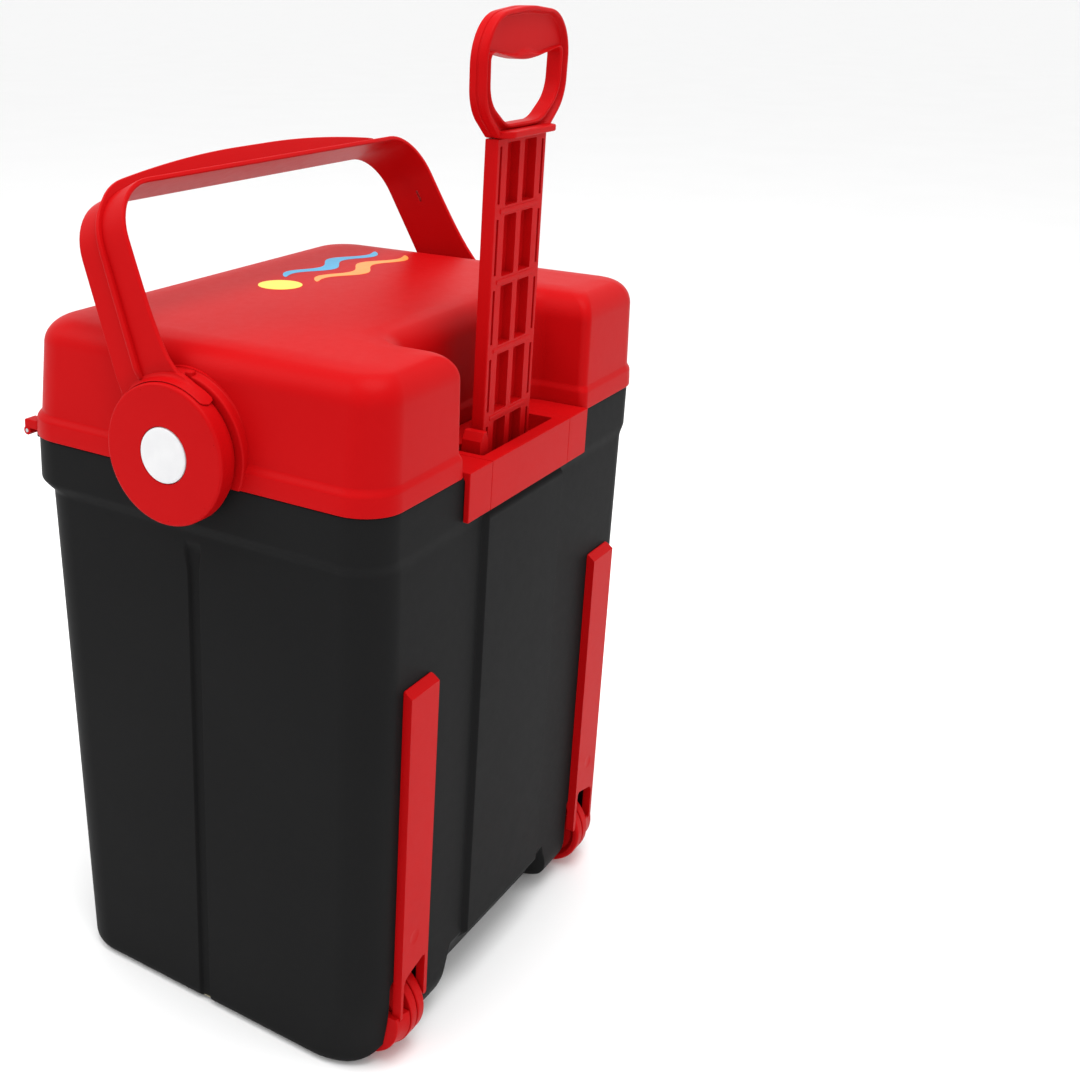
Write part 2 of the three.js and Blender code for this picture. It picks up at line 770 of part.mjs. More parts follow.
function lidPlug(grow, z0, z1) {
  const points = roundedBoxOutline(
    -CAVITY_TOP_X + PLUG_INSET - grow,
    CAVITY_TOP_X - PLUG_INSET + grow,
    CAVITY_FRONT_TOP_Y + PLUG_INSET - grow,
    CAVITY_BACK_TOP_Y - PLUG_INSET + grow,
    CAVITY_CORNER - PLUG_INSET + grow,
  );
  return loft([
    { z: z0, points },
    { z: z1, points },
  ]);
}

function lidLiner() {
  const edge = lidOutline(WALL + GAP + 0.4);
  const plateZ = LID_BASE_Z + 1.2;
  const plate = loft([
    { z: plateZ, points: edge },
    { z: plateZ + 2.4, points: edge },
  ]);
  const floor = RIM_Z - PLUG_DEPTH;
  return plate
    .add(lidPlug(0, floor, plateZ + 1))
    .subtract(lidPlug(-LINER_WALL, floor + LINER_WALL, plateZ + 10));
}

function lidFoam() {
  const floor = RIM_Z - PLUG_DEPTH + LINER_WALL + GAP;
  const over = LID_BASE_Z + 3.6 + GAP;
  const post = barX(LID_X - 9, LID_X + 5, PIVOT_Y, PIVOT_Z, POST_R + 1);
  return lidVolume(WALL + GAP, over)
    .add(lidPlug(-LINER_WALL - GAP, floor, over + 1))
    .subtract(post)
    .subtract(mirrorX(post));
}

// ---------- carry handle, drawn upright about its pivot and then tilted ----------
// half outline of the strap: up the leg, round the shoulder, to the middle of the grip
function strapPath(offset) {
  return roundedOutline(
    [
      [-COLLAR_X1 + offset, 20, 0.5],
      [COLLAR_X1 - offset, 20, 0.5],
      [COLLAR_X1 - offset, 56, 30],
      [SHOULDER_X - 2.6 - offset, GRIP_HEIGHT - offset, 20 - offset],
      [-SHOULDER_X + 2.6 + offset, GRIP_HEIGHT - offset, 20 - offset],
      [-COLLAR_X1 + offset, 56, 30],
    ],
    6,
  );
}

// the fin stands out of the strap along its middle and rises over the grip
function finOutline() {
  const legFin = 3.6;
  const crown = 17.5;
  const outline = [];
  outline.push([-COLLAR_X1 - legFin + 1.5, 51], [-COLLAR_X1 - legFin, 58]);
  outline.push([-SHOULDER_X + 1.5 - legFin, GRIP_HEIGHT - 16], [-SHOULDER_X + 12, GRIP_HEIGHT + 2.5]);
  const steps = 10;
  for (let s = 0; s <= steps; s += 1) {
    const t = s / steps;
    const x = mix(-SHOULDER_X + 26, SHOULDER_X - 26, t);
    outline.push([x, GRIP_HEIGHT + 5 + (crown - 5) * Math.sin(Math.PI * t) ** 0.8]);
  }
  outline.push([SHOULDER_X - 12, GRIP_HEIGHT + 2.5], [SHOULDER_X - 1.5 + legFin, GRIP_HEIGHT - 16]);
  outline.push([COLLAR_X1 + legFin, 58], [COLLAR_X1 + legFin - 1.5, 51], [COLLAR_X1 - 2, 51]);
  outline.push([SHOULDER_X - 12, GRIP_HEIGHT - 12], [-SHOULDER_X + 12, GRIP_HEIGHT - 12]);
  outline.push([-COLLAR_X1 + 2, 51]);
  return outline.map(([x, z]) => new THREE.Vector2(x, z)).reverse();
}

// the flared foot of a leg: a ring round the pivot that runs up into the strap
function collar() {
  const front = STRAP_SHIFT - STRAP_HALF_WIDTH;
  const back = STRAP_SHIFT + STRAP_HALF_WIDTH;
  const flare = roundedOutline(
    [
      [front - 10, 15, 4],
      [back + 22, 15, 4],
      [back + 22, 34, 3],
      [back, 62, 20],
      [back, 70, 1],
      [front, 70, 1],
      [front, 52, 12],
    ],
    4,
  );
  const ring = barX(COLLAR_X0, COLLAR_X1, 0, 0, COLLAR_R, 40);
  return ring
    .add(prismAlong('x', flare, COLLAR_X0, COLLAR_X1))
    .subtract(barX(COLLAR_X0 - 5, COLLAR_X1 + 5, 0, 0, POST_R + GAP));
}

function carryHandle() {
  const front = STRAP_SHIFT - STRAP_HALF_WIDTH;
  const back = STRAP_SHIFT + STRAP_HALF_WIDTH;
  const strap = prismAlong('y', strapPath(0), front, back)
    .subtract(prismAlong('y', strapPath(STRAP_THICKNESS), front - 5, back + 5))
    .subtract(box(-300, 300, -50, 50, 0, 60));
  const inside = prismAlong('y', strapPath(STRAP_THICKNESS - 0.5), front, back);
  const fin = prismAlong('y', finOutline(), STRAP_SHIFT - 2, STRAP_SHIFT + 2).subtract(inside);
  const foot = collar();
  return union([strap, fin, foot, mirrorX(foot)]);
}

function hubDisc() {
  const bore = POST_R + GAP;
  const screwRoom = 14.4;
  return turnedX(
    [
      [HUB_X0, bore],
      [HUB_X0, 17],
      [HUB_X1 - 4, 17],
      [HUB_X1 - 4, HUB_R - 3.5],
      [HUB_X0, HUB_R - 3.5],
      [HUB_X0, HUB_R],
      [HUB_X1 - 1.5, HUB_R],
      [HUB_X1, HUB_R - 1.5],
      [HUB_X1, CAP_R + GAP],
      [HUB_X1 - 2.6, CAP_R + GAP],
      [HUB_X1 - 2.6, screwRoom],
      [HUB_X0 + 3.2, screwRoom],
      [HUB_X0 + 3.2, bore],
      [HUB_X0, bore],
    ],
    0,
    0,
    36,
  );
}

function hubCap() {
  return turnedX(
    [
      [HUB_X1 - 2.2, 0],
      [HUB_X1 - 2.2, CAP_R],
      [HUB_X1, CAP_R],
      [HUB_X1 + 0.7, CAP_R - 1.2],
      [HUB_X1 + 1, CAP_R - 6],
      [HUB_X1 + 1, 0],
    ],
    0,
    0,
  );
}

function pivotScrew() {
  const head = barX(HUB_X0 + 3.6, HUB_X0 + 6.2, PIVOT_Y, PIVOT_Z, 13, 24);
  const shank = barX(LID_X - 6, HUB_X0 + 4, PIVOT_Y, PIVOT_Z, 2, 12);
  return head.add(shank);
}

// ---------- assembly ----------
const group = new THREE.Group();

function addPiece(parent, name, solid, material) {
  const mesh = new THREE.Mesh(toGeometry(solid), material);
  mesh.name = name;
  parent.add(mesh);
}

addPiece(group, 'outer_shell', outerShell(), blackPlastic());
addPiece(group, 'inner_liner', innerLiner(), linerPlastic());
addPiece(group, 'body_foam', bodyFoam(), foamFill());
addPiece(group, 'shaft_guide', shaftGuide(), blackPlastic());
addPiece(group, 'handle_bracket', handleBracket(), redPlastic());
addPiece(group, 'shaft_catch', shaftCatch(), redPlastic());
addPiece(group, 'pull_shaft', pullShaft(), redPlastic());
addPiece(group, 'pull_grip', pullGrip(), redPlastic());
addPiece(group, 'lid_shell', lidShell(), redPlastic());
addPiece(group, 'lid_liner', lidLiner(), linerPlastic());
addPiece(group, 'lid_foam', lidFoam(), foamFill());

// the handle and its hubs lean forward together about the pivot
const tilted = new THREE.Group();
tilted.position.set(0, PIVOT_Y, PIVOT_Z);
tilted.rotation.x = THREE.MathUtils.degToRad(HANDLE_TILT);
group.add(tilted);
addPiece(tilted, 'carry_handle', carryHandle(), redPlastic());

// pieces that come in pairs, one at each end of the cooler
const pairs = [
  { side: 'right', place: (solid) => solid },
  { side: 'left', place: mirrorX },
];
for (const { side, place } of pairs) {
  addPiece(tilted, `hub_disc_${side}`, place(hubDisc()), redPlastic());
  addPiece(tilted, `hub_cap_${side}`, place(hubCap()), whitePlastic());
  addPiece(group, `pivot_screw_${side}`, place(pivotScrew()), steel());
  const pin = barX(
    HINGE_NEAR_X,
    HINGE_NEAR_X + 3 * KNUCKLE_PITCH - GAP,
    HINGE_Y,
    HINGE_Z,
    HINGE_PIN_R,
    16,
  );
  addPiece(group, `hinge_pin_${side}`, place(pin), steel());
  addPiece(group, `wheel_guard_${side}`, place(wheelGuard()), redPlastic());
  const axle = barX(POCKET_X0 - 2.6, POCKET_X1 + 2.6, WHEEL_Y, WHEEL_Z, AXLE_R, 16);
  addPiece(group, `axle_${side}`, place(axle), steel());
  addPiece(group, `wheel_inner_half_${side}`, place(innerWheelHalf()), redPlastic());
  addPiece(group, `wheel_outer_half_${side}`, place(outerWheelHalf()), redPlastic());
}

export default group;
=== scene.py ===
# The looks of a rolling cooler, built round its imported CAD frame.
# Sizes are in millimetres unless a name says otherwise.
import json
import math

import bmesh
import bpy
from mathutils import Matrix, Vector


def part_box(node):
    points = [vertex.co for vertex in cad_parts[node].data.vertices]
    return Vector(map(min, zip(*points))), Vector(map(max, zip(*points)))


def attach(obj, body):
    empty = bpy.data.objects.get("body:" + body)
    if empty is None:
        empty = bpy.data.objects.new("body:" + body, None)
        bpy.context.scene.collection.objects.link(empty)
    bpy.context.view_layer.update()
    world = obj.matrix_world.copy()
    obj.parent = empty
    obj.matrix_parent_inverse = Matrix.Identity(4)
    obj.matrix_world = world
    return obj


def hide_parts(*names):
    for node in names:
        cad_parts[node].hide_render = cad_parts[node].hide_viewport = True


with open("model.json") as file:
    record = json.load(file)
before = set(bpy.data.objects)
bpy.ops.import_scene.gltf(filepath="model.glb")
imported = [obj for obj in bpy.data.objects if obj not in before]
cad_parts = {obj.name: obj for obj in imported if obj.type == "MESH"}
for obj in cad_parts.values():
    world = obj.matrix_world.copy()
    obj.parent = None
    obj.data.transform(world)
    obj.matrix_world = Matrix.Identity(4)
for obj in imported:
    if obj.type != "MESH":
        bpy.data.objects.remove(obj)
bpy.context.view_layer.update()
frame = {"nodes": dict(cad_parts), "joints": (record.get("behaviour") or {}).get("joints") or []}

MM = 0.001
TAU = 2 * math.pi
SIDES = (("right", 1), ("left", -1))  # the two ends of the cooler, and the sign of their x


# ---------- places taken from the frame ----------
def box_mm(node):
    low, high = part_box(node)
    return low / MM, high / MM


JOINTS = {joint["name"]: joint for joint in frame["joints"]}
PIVOT_Y, PIVOT_Z = (JOINTS["carry_handle_pivot"]["pos_m"][axis] / MM for axis in (1, 2))
HINGE_Y, HINGE_Z = (JOINTS["lid_hinge"]["pos_m"][axis] / MM for axis in (1, 2))
WHEEL_Y, WHEEL_Z = (JOINTS["wheel_right_spin"]["pos_m"][axis] / MM for axis in (1, 2))

lid_high = box_mm("lid_shell")[1]
disc_low, disc_high = box_mm("hub_disc_right")
cap_high = box_mm("hub_cap_right")[1]
handle_high = box_mm("carry_handle")[1]
grip_low, grip_high = box_mm("pull_grip")
shaft_low, shaft_high = box_mm("pull_shaft")
bracket_low, bracket_high = box_mm("handle_bracket")
guard_low, guard_high = box_mm("wheel_guard_right")
inner_wheel_low, inner_wheel_high = box_mm("wheel_inner_half_right")
outer_wheel_low, outer_wheel_high = box_mm("wheel_outer_half_right")
liner_high = box_mm("inner_liner")[1]

# tub
RIM_Z = liner_high.z
RIM_X = 199
RIM_Y = 150
BAND_Z0 = 381  # the wall steps out to the band between these two heights
BAND_Z1 = 392
UNDER_X = 194.8
UNDER_FRONT_Y = -142
BASE_X = 188.5
BASE_FRONT_Y = -124
BACK_Y = 149
FRONT_CORNER = 34
BACK_CORNER = 29
FLOOR_CORNER = 48
FLOOR_CORNER_Z = 60
BACK_SWEEP = 32
BOTTOM_ROUND = 9
WALL = 3
PANEL_X = 56
PANEL_BEVEL = 6
PANEL_RISE = 4
PANEL_FACE_Y = BACK_Y + PANEL_RISE
ARCH_TOP_Z = 50
ARCH_TOP_X = 76
ARCH_BASE_X = 99
ARCH_BASE_Y = 125
GROOVE_Y = 4
GROOVE_TOP_Z = 376
GROOVE_DEPTH = 3

FOOT_HEIGHT = 2.2  # the corner feet stand this far below the floor pan

# wheel pockets and guards
POCKET_X0 = 121.8
POCKET_X1 = 163
POCKET_Y0 = 91
POCKET_TOP_Z = 69
GUARD_X1 = 159.2
GUARD_Y0 = BACK_Y + 0.4
GUARD_NOTCH_Z = 74  # top of the fork over the wheel
GUARD_LEG = 3.4  # width of the outer leg
GUARD_LEG_Z = 37  # bottom of the outer leg

# pull handle bracket
PLATE_THICK = 5.5
TRAY_X = 53.5
TRAY_Y0 = 119
TRAY_Y1 = 143.5
TRAY_Z = 412
TRAY_WALL = 2.5
RUNNING = 0.7  # clearance of the stem where it passes through the tray

# lid
LID_X = 200
LID_Y = 151.5
LID_BASE_Z = 423
LID_TOP_Z = lid_high.z
NOTCH_X = 91.7
NOTCH_Y = 97
NOTCH_CORNER = 6
NOTCH_INNER_CORNER = 20

BOSS_R = 52

# carry handle, in its own upright frame: x, w across the strap, s away from the pivot
HANDLE_TILT = math.radians(26.3)
STRAP_SHIFT = -5
STRAP_WIDTH = 44
STRAP_THICK = 3.6
LEG_X = handle_high.x - 3.6  # outer face of a leg at its foot
FOOT_X0 = disc_low.x - 4.4  # inner face of the foot
FOOT_X1 = LEG_X - 0.35
LEG_FOOT_S = 34  # the legs run down this far, behind the discs
SHOULDER_X = 191
SHOULDER_R = 42
GRIP_S = 176


# ---------- materials ----------
def node_maker(material):
    tree = material.node_tree

    def make(kind, inputs=None, **settings):
        node = tree.nodes.new(kind)
        for key, value in settings.items():
            setattr(node, key, value)
        for key, value in (inputs or {}).items():
            if isinstance(value, bpy.types.NodeSocket):
                tree.links.new(value, node.inputs[key])
            else:
                node.inputs[key].default_value = value
        return node

    return make


def moulded_plastic(
    name,
    dark,
    light,
    roughness,
    grain=0.04,
    grain_scale=2600,
    sink=0.0,
    specular=0.5,
    cloud_scale=9,
):
    """Injection moulded plastic: cloudy pigment, uneven gloss, a fine grain and faint sink marks."""
    material = bpy.data.materials.new(name)
    material.use_nodes = True
    material.diffuse_color = (*light, 1)
    nodes = material.node_tree.nodes
    links = material.node_tree.links
    make = node_maker(material)
    shader = nodes["Principled BSDF"]
    place = make("ShaderNodeTexCoord").outputs["Object"]
    cloud = make(
        "ShaderNodeTexNoise", {"Vector": place, "Scale": cloud_scale, "Detail": 4.0, "Roughness": 0.6}
    )
    pigment = make("ShaderNodeValToRGB", {"Fac": cloud.outputs["Fac"]})
    pigment.color_ramp.elements[0].position = 0.3
    pigment.color_ramp.elements[0].color = (*dark, 1)
    pigment.color_ramp.elements[1].position = 0.7
    pigment.color_ramp.elements[1].color = (*light, 1)
    links.new(pigment.outputs["Color"], shader.inputs["Base Color"])

    speckle = make(
        "ShaderNodeTexNoise", {"Vector": place, "Scale": 140.0, "Detail": 5.0, "Roughness": 0.65}
    )
    gloss = make(
        "ShaderNodeMapRange",
        {
            "Value": speckle.outputs["Fac"],
            "From Min": 0.3,
            "From Max": 0.7,
            "To Min": roughness - 0.02,
            "To Max": roughness + 0.03,
        },
    )
    links.new(gloss.outputs["Result"], shader.inputs["Roughness"])

    fine = make(
        "ShaderNodeTexNoise", {"Vector": place, "Scale": float(grain_scale), "Detail": 2.0}
    )
    grain_bump = make(
        "ShaderNodeBump",
        {"Height": fine.outputs["Fac"], "Strength": grain, "Distance": 0.0003},
    )
    normal = grain_bump.outputs["Normal"]
    if sink:
        wave = make(
            "ShaderNodeTexNoise", {"Vector": place, "Scale": 14.0, "Detail": 1.0}
        )
        sink_bump = make(
            "ShaderNodeBump",
            {"Height": wave.outputs["Fac"], "Strength": sink, "Distance": 0.004, "Normal": normal},
        )
        normal = sink_bump.outputs["Normal"]
    links.new(normal, shader.inputs["Normal"])
    shader.inputs["Specular IOR Level"].default_value = specular
    return material


def brushed_metal(name):
    material = bpy.data.materials.new(name)
    material.use_nodes = True
    links = material.node_tree.links
    make = node_maker(material)
    shader = material.node_tree.nodes["Principled BSDF"]
    place = make("ShaderNodeTexCoord").outputs["Object"]
    stretch = make("ShaderNodeMapping", {"Vector": place, "Scale": (40.0, 900.0, 900.0)})
    streak = make("ShaderNodeTexNoise", {"Vector": stretch.outputs["Vector"], "Scale": 4.0})
    tone = make("ShaderNodeValToRGB", {"Fac": streak.outputs["Fac"]})
    tone.color_ramp.elements[0].color = (0.34, 0.35, 0.37, 1)
    tone.color_ramp.elements[1].color = (0.55, 0.56, 0.58, 1)
    links.new(tone.outputs["Color"], shader.inputs["Base Color"])
    gloss = make(
        "ShaderNodeMapRange", {"Value": streak.outputs["Fac"], "To Min": 0.22, "To Max": 0.4}
    )
    links.new(gloss.outputs["Result"], shader.inputs["Roughness"])
    shader.inputs["Metallic"].default_value = 1.0
    return material


def rigid_foam(name):
    material = bpy.data.materials.new(name)
    material.use_nodes = True
    links = material.node_tree.links
    make = node_maker(material)
    shader = material.node_tree.nodes["Principled BSDF"]
    place = make("ShaderNodeTexCoord").outputs["Object"]
    cells = make("ShaderNodeTexVoronoi", {"Vector": place, "Scale": 900.0})
    tone = make("ShaderNodeValToRGB", {"Fac": cells.outputs["Distance"]})
    tone.color_ramp.elements[0].color = (0.62, 0.52, 0.28, 1)
    tone.color_ramp.elements[1].color = (0.82, 0.74, 0.48, 1)
    links.new(tone.outputs["Color"], shader.inputs["Base Color"])
    bump = make(
        "ShaderNodeBump", {"Height": cells.outputs["Distance"], "Strength": 0.4, "Distance": 0.0008}
    )
    links.new(bump.outputs["Normal"], shader.inputs["Normal"])
    shader.inputs["Roughness"].default_value = 0.95
    return material


RED = moulded_plastic(
    "red_plastic_look", (0.405, 0.0022, 0.0032), (0.425, 0.0028, 0.0038), 0.40, sink=0.005, specular=0.04
)
BLACK = moulded_plastic(
    "black_plastic_look",
    (0.0098, 0.0098, 0.0100),
    (0.0108, 0.0108, 0.0110),
    0.47,
    grain=0.08,
    grain_scale=1900,
    sink=0.005,
    specular=0.02,
)
WHITE = moulded_plastic(
    "white_cap_look", (0.60, 0.60, 0.61), (0.64, 0.64, 0.645), 0.34, grain=0.04, sink=0.1, cloud_scale=60
)
LINER = moulded_plastic(
    "liner_look", (0.70, 0.71, 0.73), (0.76, 0.77, 0.79), 0.42, grain=0.03, sink=0.05
)
FOAM = rigid_foam("foam_look")
STEEL = brushed_metal("steel_look")


# ---------- mesh tools ----------
def new_piece(name, verts, faces, material, smooth=32):
    """A mesh object from millimetre points, facing out, smooth-shaded below the given angle."""
    mesh = bpy.data.meshes.new(name)
    mesh.from_pydata([Vector(v) * MM for v in verts], [], faces)
    piece = bpy.data.objects.new(name, mesh)
    bpy.context.scene.collection.objects.link(piece)
    mesh.materials.append(material)
    clean(piece, smooth)
    return piece


def clean(piece, smooth=32):
    work = bmesh.new()
    work.from_mesh(piece.data)
    bmesh.ops.remove_doubles(work, verts=work.verts, dist=1e-6)
    bmesh.ops.recalc_face_normals(work, faces=work.faces)
    work.to_mesh(piece.data)
    work.free()
    shade(piece, smooth)


def shade(piece, smooth=32):
    mesh = piece.data
    mesh.polygons.foreach_set("use_smooth", [True] * len(mesh.polygons))
    mesh.set_sharp_from_angle(angle=math.radians(smooth))
    mesh.update()


def apply_modifiers(piece):
    depsgraph = bpy.context.evaluated_depsgraph_get()
    done = bpy.data.meshes.new_from_object(piece.evaluated_get(depsgraph))
    old = piece.data
    piece.modifiers.clear()
    piece.data = done
    bpy.data.meshes.remove(old)


def settle(piece, smooth=32):
    apply_modifiers(piece)
    shade(piece, smooth)
    return piece


def bevel(piece, width, segments=3, angle=30, smooth=32):
    modifier = piece.modifiers.new("edges", "BEVEL")
    modifier.width = width * MM
    modifier.segments = segments
    modifier.limit_method = "ANGLE"
    modifier.angle_limit = math.radians(angle)
    modifier.use_clamp_overlap = True
    modifier.miter_outer = "MITER_ARC"
    return settle(piece, smooth)


def carve(piece, cutters, smooth=32, operation="DIFFERENCE"):
    """Cuts the cutters out of the piece, or joins them to it, and removes them."""
    for cutter in cutters:
        modifier = piece.modifiers.new("cut", "BOOLEAN")
        modifier.operation = operation
        modifier.solver = "EXACT"
        modifier.object = cutter
    settle(piece, smooth)
    for cutter in cutters:
        mesh = cutter.data
        bpy.data.objects.remove(cutter)
        bpy.data.meshes.remove(mesh)
    return piece


def flatten_shading(piece):
    """Weighs the normals by face size, so that wide flat faces are shaded flat."""
    modifier = piece.modifiers.new("normals", "WEIGHTED_NORMAL")
    modifier.keep_sharp = True
    apply_modifiers(piece)


def finished(piece, body, slot, *nodes):
    flatten_shading(piece)
    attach(piece, body)
    if nodes:
        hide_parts(*nodes)
    return piece


def placed_on(side, piece):
    """The piece, reflected to the left end where the side is negative."""
    if side > 0:
        return piece
    name = piece.name
    mesh = piece.data.copy()
    mesh.transform(Matrix.Scale(-1, 4, (1, 0, 0)))
    mesh.flip_normals()
    bpy.data.objects.remove(piece)
    other = bpy.data.objects.new(name, mesh)
    bpy.context.scene.collection.objects.link(other)
    return other


def lerp(a, b, t):
    return a + (b - a) * t


def smoothstep(a, b, value):
    t = min(1, max(0, (value - a) / (b - a)))
    return t * t * (3 - 2 * t)


def rounded_corner(corners, i, steps):
    """The points of one (x, y, radius) corner's round, between its neighbours in the list."""
    x, y, radius = corners[i]
    corner = Vector((x, y))
    back = (Vector(corners[i - 1][:2]) - corner).normalized()
    ahead = (Vector(corners[(i + 1) % len(corners)][:2]) - corner).normalized()
    half = math.acos(max(-1, min(1, back.dot(ahead)))) / 2
    start = corner + back * (radius / math.tan(half))
    centre = corner + (back + ahead).normalized() * (radius / math.sin(half))
    side = 1 if ahead.x * back.y - ahead.y * back.x > 0 else -1
    turn = side * (math.pi - 2 * half)
    arm = start - centre
    points = []
    for s in range(steps + 1):
        a = turn * s / steps
        along = arm.x * math.cos(a) - arm.y * math.sin(a)
        across = arm.x * math.sin(a) + arm.y * math.cos(a)
        points.append((centre.x + along, centre.y + across))
    return points


def rounded_outline(corners, steps=10):
    """A closed anticlockwise outline with each (x, y, radius) corner rounded."""
    points = []
    for i in range(len(corners)):
        points += rounded_corner(corners, i, steps)
    return points


def loft(rings, caps=(True, True)):
    """Points and faces through rings of the same count, closed round each ring."""
    count = len(rings[0])
    verts = [point for ring in rings for point in ring]
    faces = []
    for level in range(len(rings) - 1):
        for i in range(count):
            a = level * count + i
            b = level * count + (i + 1) % count
            faces.append((a, b, b + count, a + count))
    if caps[0]:
        faces.append(tuple(reversed(range(count))))
    if caps[1]:
        faces.append(tuple(range((len(rings) - 1) * count, len(rings) * count)))
    return verts, faces


def closed_loft(rings):
    """The same, with the last ring joined back to the first: a ring-shaped solid."""
    count = len(rings[0])
    verts, faces = loft(rings, (False, False))
    last = (len(rings) - 1) * count
    for i in range(count):
        j = (i + 1) % count
        faces.append((last + i, last + j, j, i))
    return verts, faces


def rings_about(profile, y, z, segments):
    rings = []
    for x, radius in profile:
        ring = []
        for i in range(segments):
            a = TAU * i / segments
            ring.append((x, y + radius * math.cos(a), z + radius * math.sin(a)))
        rings.append(ring)
    return rings


def turned(profile, y, z, segments=96):
    """A closed profile of (x, radius) points turned about an axis along X."""
    return closed_loft(rings_about(profile, y, z, segments))


def solid_turned(profile, y, z, segments=96):
    """A profile of (x, radius) points turned about an axis along X, closed flat at both ends."""
    return loft(rings_about(profile, y, z, segments))


def arc(cx, cy, radius, start, end, steps=6):
    """Points of an arc, in degrees, anticlockwise when end is over start."""
    points = []
    for s in range(steps + 1):
        a = math.radians(lerp(start, end, s / steps))
        points.append((cx + radius * math.cos(a), cy + radius * math.sin(a)))
    return points


def slab(outline, axis, low, high):
    """An outline pushed along an axis: XZ outlines along y, YZ along x, XY along z."""
    place = {
        "x": lambda a, b, c: (c, a, b),
        "y": lambda a, b, c: (a, c, b),
        "z": lambda a, b, c: (a, b, c),
    }[axis]
    return loft([[place(a, b, c) for a, b in outline] for c in (low, high)])


def block(name, low, high, material, width=0.0, segments=2):
    """A box with softened edges."""
    outline = [(low[0], low[1]), (high[0], low[1]), (high[0], high[1]), (low[0], high[1])]
    piece = new_piece(name, *slab(outline, "z", low[2], high[2]), material)
    return bevel(piece, width, segments) if width else piece


# ---------- tub ----------
def tub_section(z):
    """Half width, front and back of the tub's outer wall at a height above the floor."""
    t = min(1, max(0, z / BAND_Z0))
    out = smoothstep(BAND_Z0, BAND_Z1, z)
    x = lerp(lerp(BASE_X, UNDER_X, t), RIM_X, out)
    front = lerp(lerp(BASE_FRONT_Y, UNDER_FRONT_Y, t), -RIM_Y, out)
    back = lerp(BACK_Y, RIM_Y, out)
    return x, front, back


def swept_back(z):
    """How far back the tub may reach at a height: its back curls under at the floor."""
    if z > BACK_SWEEP:
        return RIM_Y
    return BACK_Y - BACK_SWEEP + math.sqrt(BACK_SWEEP**2 - (BACK_SWEEP - z) ** 2)


# groove across an end face: (distance from its middle, share of its depth)
GROOVE_SECTION = [
    (-5.6, 0), (-5.0, 0.05), (-4.5, 0.25), (-3.9, 0.75), (-3.4, 0.95), (-2.8, 1),
    (2.8, 1), (3.4, 0.95), (3.9, 0.75), (4.5, 0.25), (5.0, 0.05), (5.6, 0),
]
# bevel at each side of the back panel: (distance in from its foot, share of its rise)
PANEL_SECTION = [(1.0, 0), (1.5, 0.05), (2.0, 0.15), (4.0, 0.85), (4.5, 0.95), (5.0, 1)]
CORNER_STEPS = 14


def tub_outline(z, inset=0.0):
    """The tub's outline at a height, with the end grooves, the back panel and the arch in it."""
    x, front, back = tub_section(z)
    x -= inset
    front += inset
    back -= inset
    front_r = FRONT_CORNER - inset
    back_r = lerp(FLOOR_CORNER, BACK_CORNER, smoothstep(0, FLOOR_CORNER_Z, z)) - inset
    plain = rounded_outline(
        [(-x, front, front_r), (x, front, front_r), (x, back, back_r), (-x, back, back_r)],
        CORNER_STEPS,
    )
    n = CORNER_STEPS + 1
    front_left, front_right, back_right, back_left = (plain[i * n : i * n + n] for i in range(4))

    depth = GROOVE_DEPTH * (1 - smoothstep(GROOVE_TOP_Z - 9, GROOVE_TOP_Z, z))
    depth *= lerp(0.35, 1, smoothstep(0, 10, z))
    flare = 1 + 0.45 * smoothstep(GROOVE_TOP_Z - 26, GROOVE_TOP_Z - 4, z)
    groove_right = [(x - depth * d, GROOVE_Y + w * flare) for w, d in GROOVE_SECTION]
    groove_left = [(-px, py) for px, py in reversed(groove_right)]

    arch = min(1, max(0, z / ARCH_TOP_Z))
    arch_x = lerp(ARCH_BASE_X, ARCH_TOP_X, arch**0.8)
    arch_y = lerp(ARCH_BASE_Y, BACK_Y, arch) - inset
    inner_y = min(back, arch_y) if z < ARCH_TOP_Z else back
    rise = PANEL_RISE * (1 - smoothstep(BAND_Z0 + 3, BAND_Z0 + 8, z))
    rise *= smoothstep(ARCH_TOP_Z - 10, ARCH_TOP_Z + 2, z)
    foot_x = PANEL_X + PANEL_BEVEL
    limit = swept_back(z) - inset
    inner_y = min(inner_y, limit)
    back = min(back, limit)
    back_left = [(px, min(py, limit)) for px, py in back_left]
    back_right = [(px, min(py, limit)) for px, py in back_right]
    back_half = [(arch_x + 1.5, back), (arch_x + 0.6, lerp(back, inner_y, 0.12))]
    back_half += [(arch_x - 0.6, lerp(back, inner_y, 0.88)), (arch_x - 1.5, inner_y)]
    back_half += [(foot_x - d, inner_y + rise * s) for d, s in PANEL_SECTION]
    back_all = back_half + [(-px, py) for px, py in reversed(back_half)]
    return (
        front_left + front_right + groove_right + back_right + back_all + back_left + groove_left
    )


def tub_levels():
    levels = []
    for s in range(7):
        a = math.radians(lerp(0, 90, s / 6))
        levels.append((BOTTOM_ROUND * (1 - math.cos(a)), BOTTOM_ROUND * (1 - math.sin(a))))
    heights = [11, 13, 16, 19, 22, 25, 28.5, 32, 36, 40, 44, 47, 49, 50, 51, 52.5, 56, 60, 66]
    heights += [lerp(80, 340, i / 8) for i in range(9)]
    heights += [350, 356, 362, 366, 368.5, 371, 373.5, 376, 378.5]
    heights += [lerp(BAND_Z0, BAND_Z1, i / 8) for i in range(9)]
    heights += [397, 408, 417, RIM_Z - 0.8]
    levels += [(z, 0) for z in heights]
    levels += [(RIM_Z - 0.3, 0.25), (RIM_Z, 0.8)]
    return levels


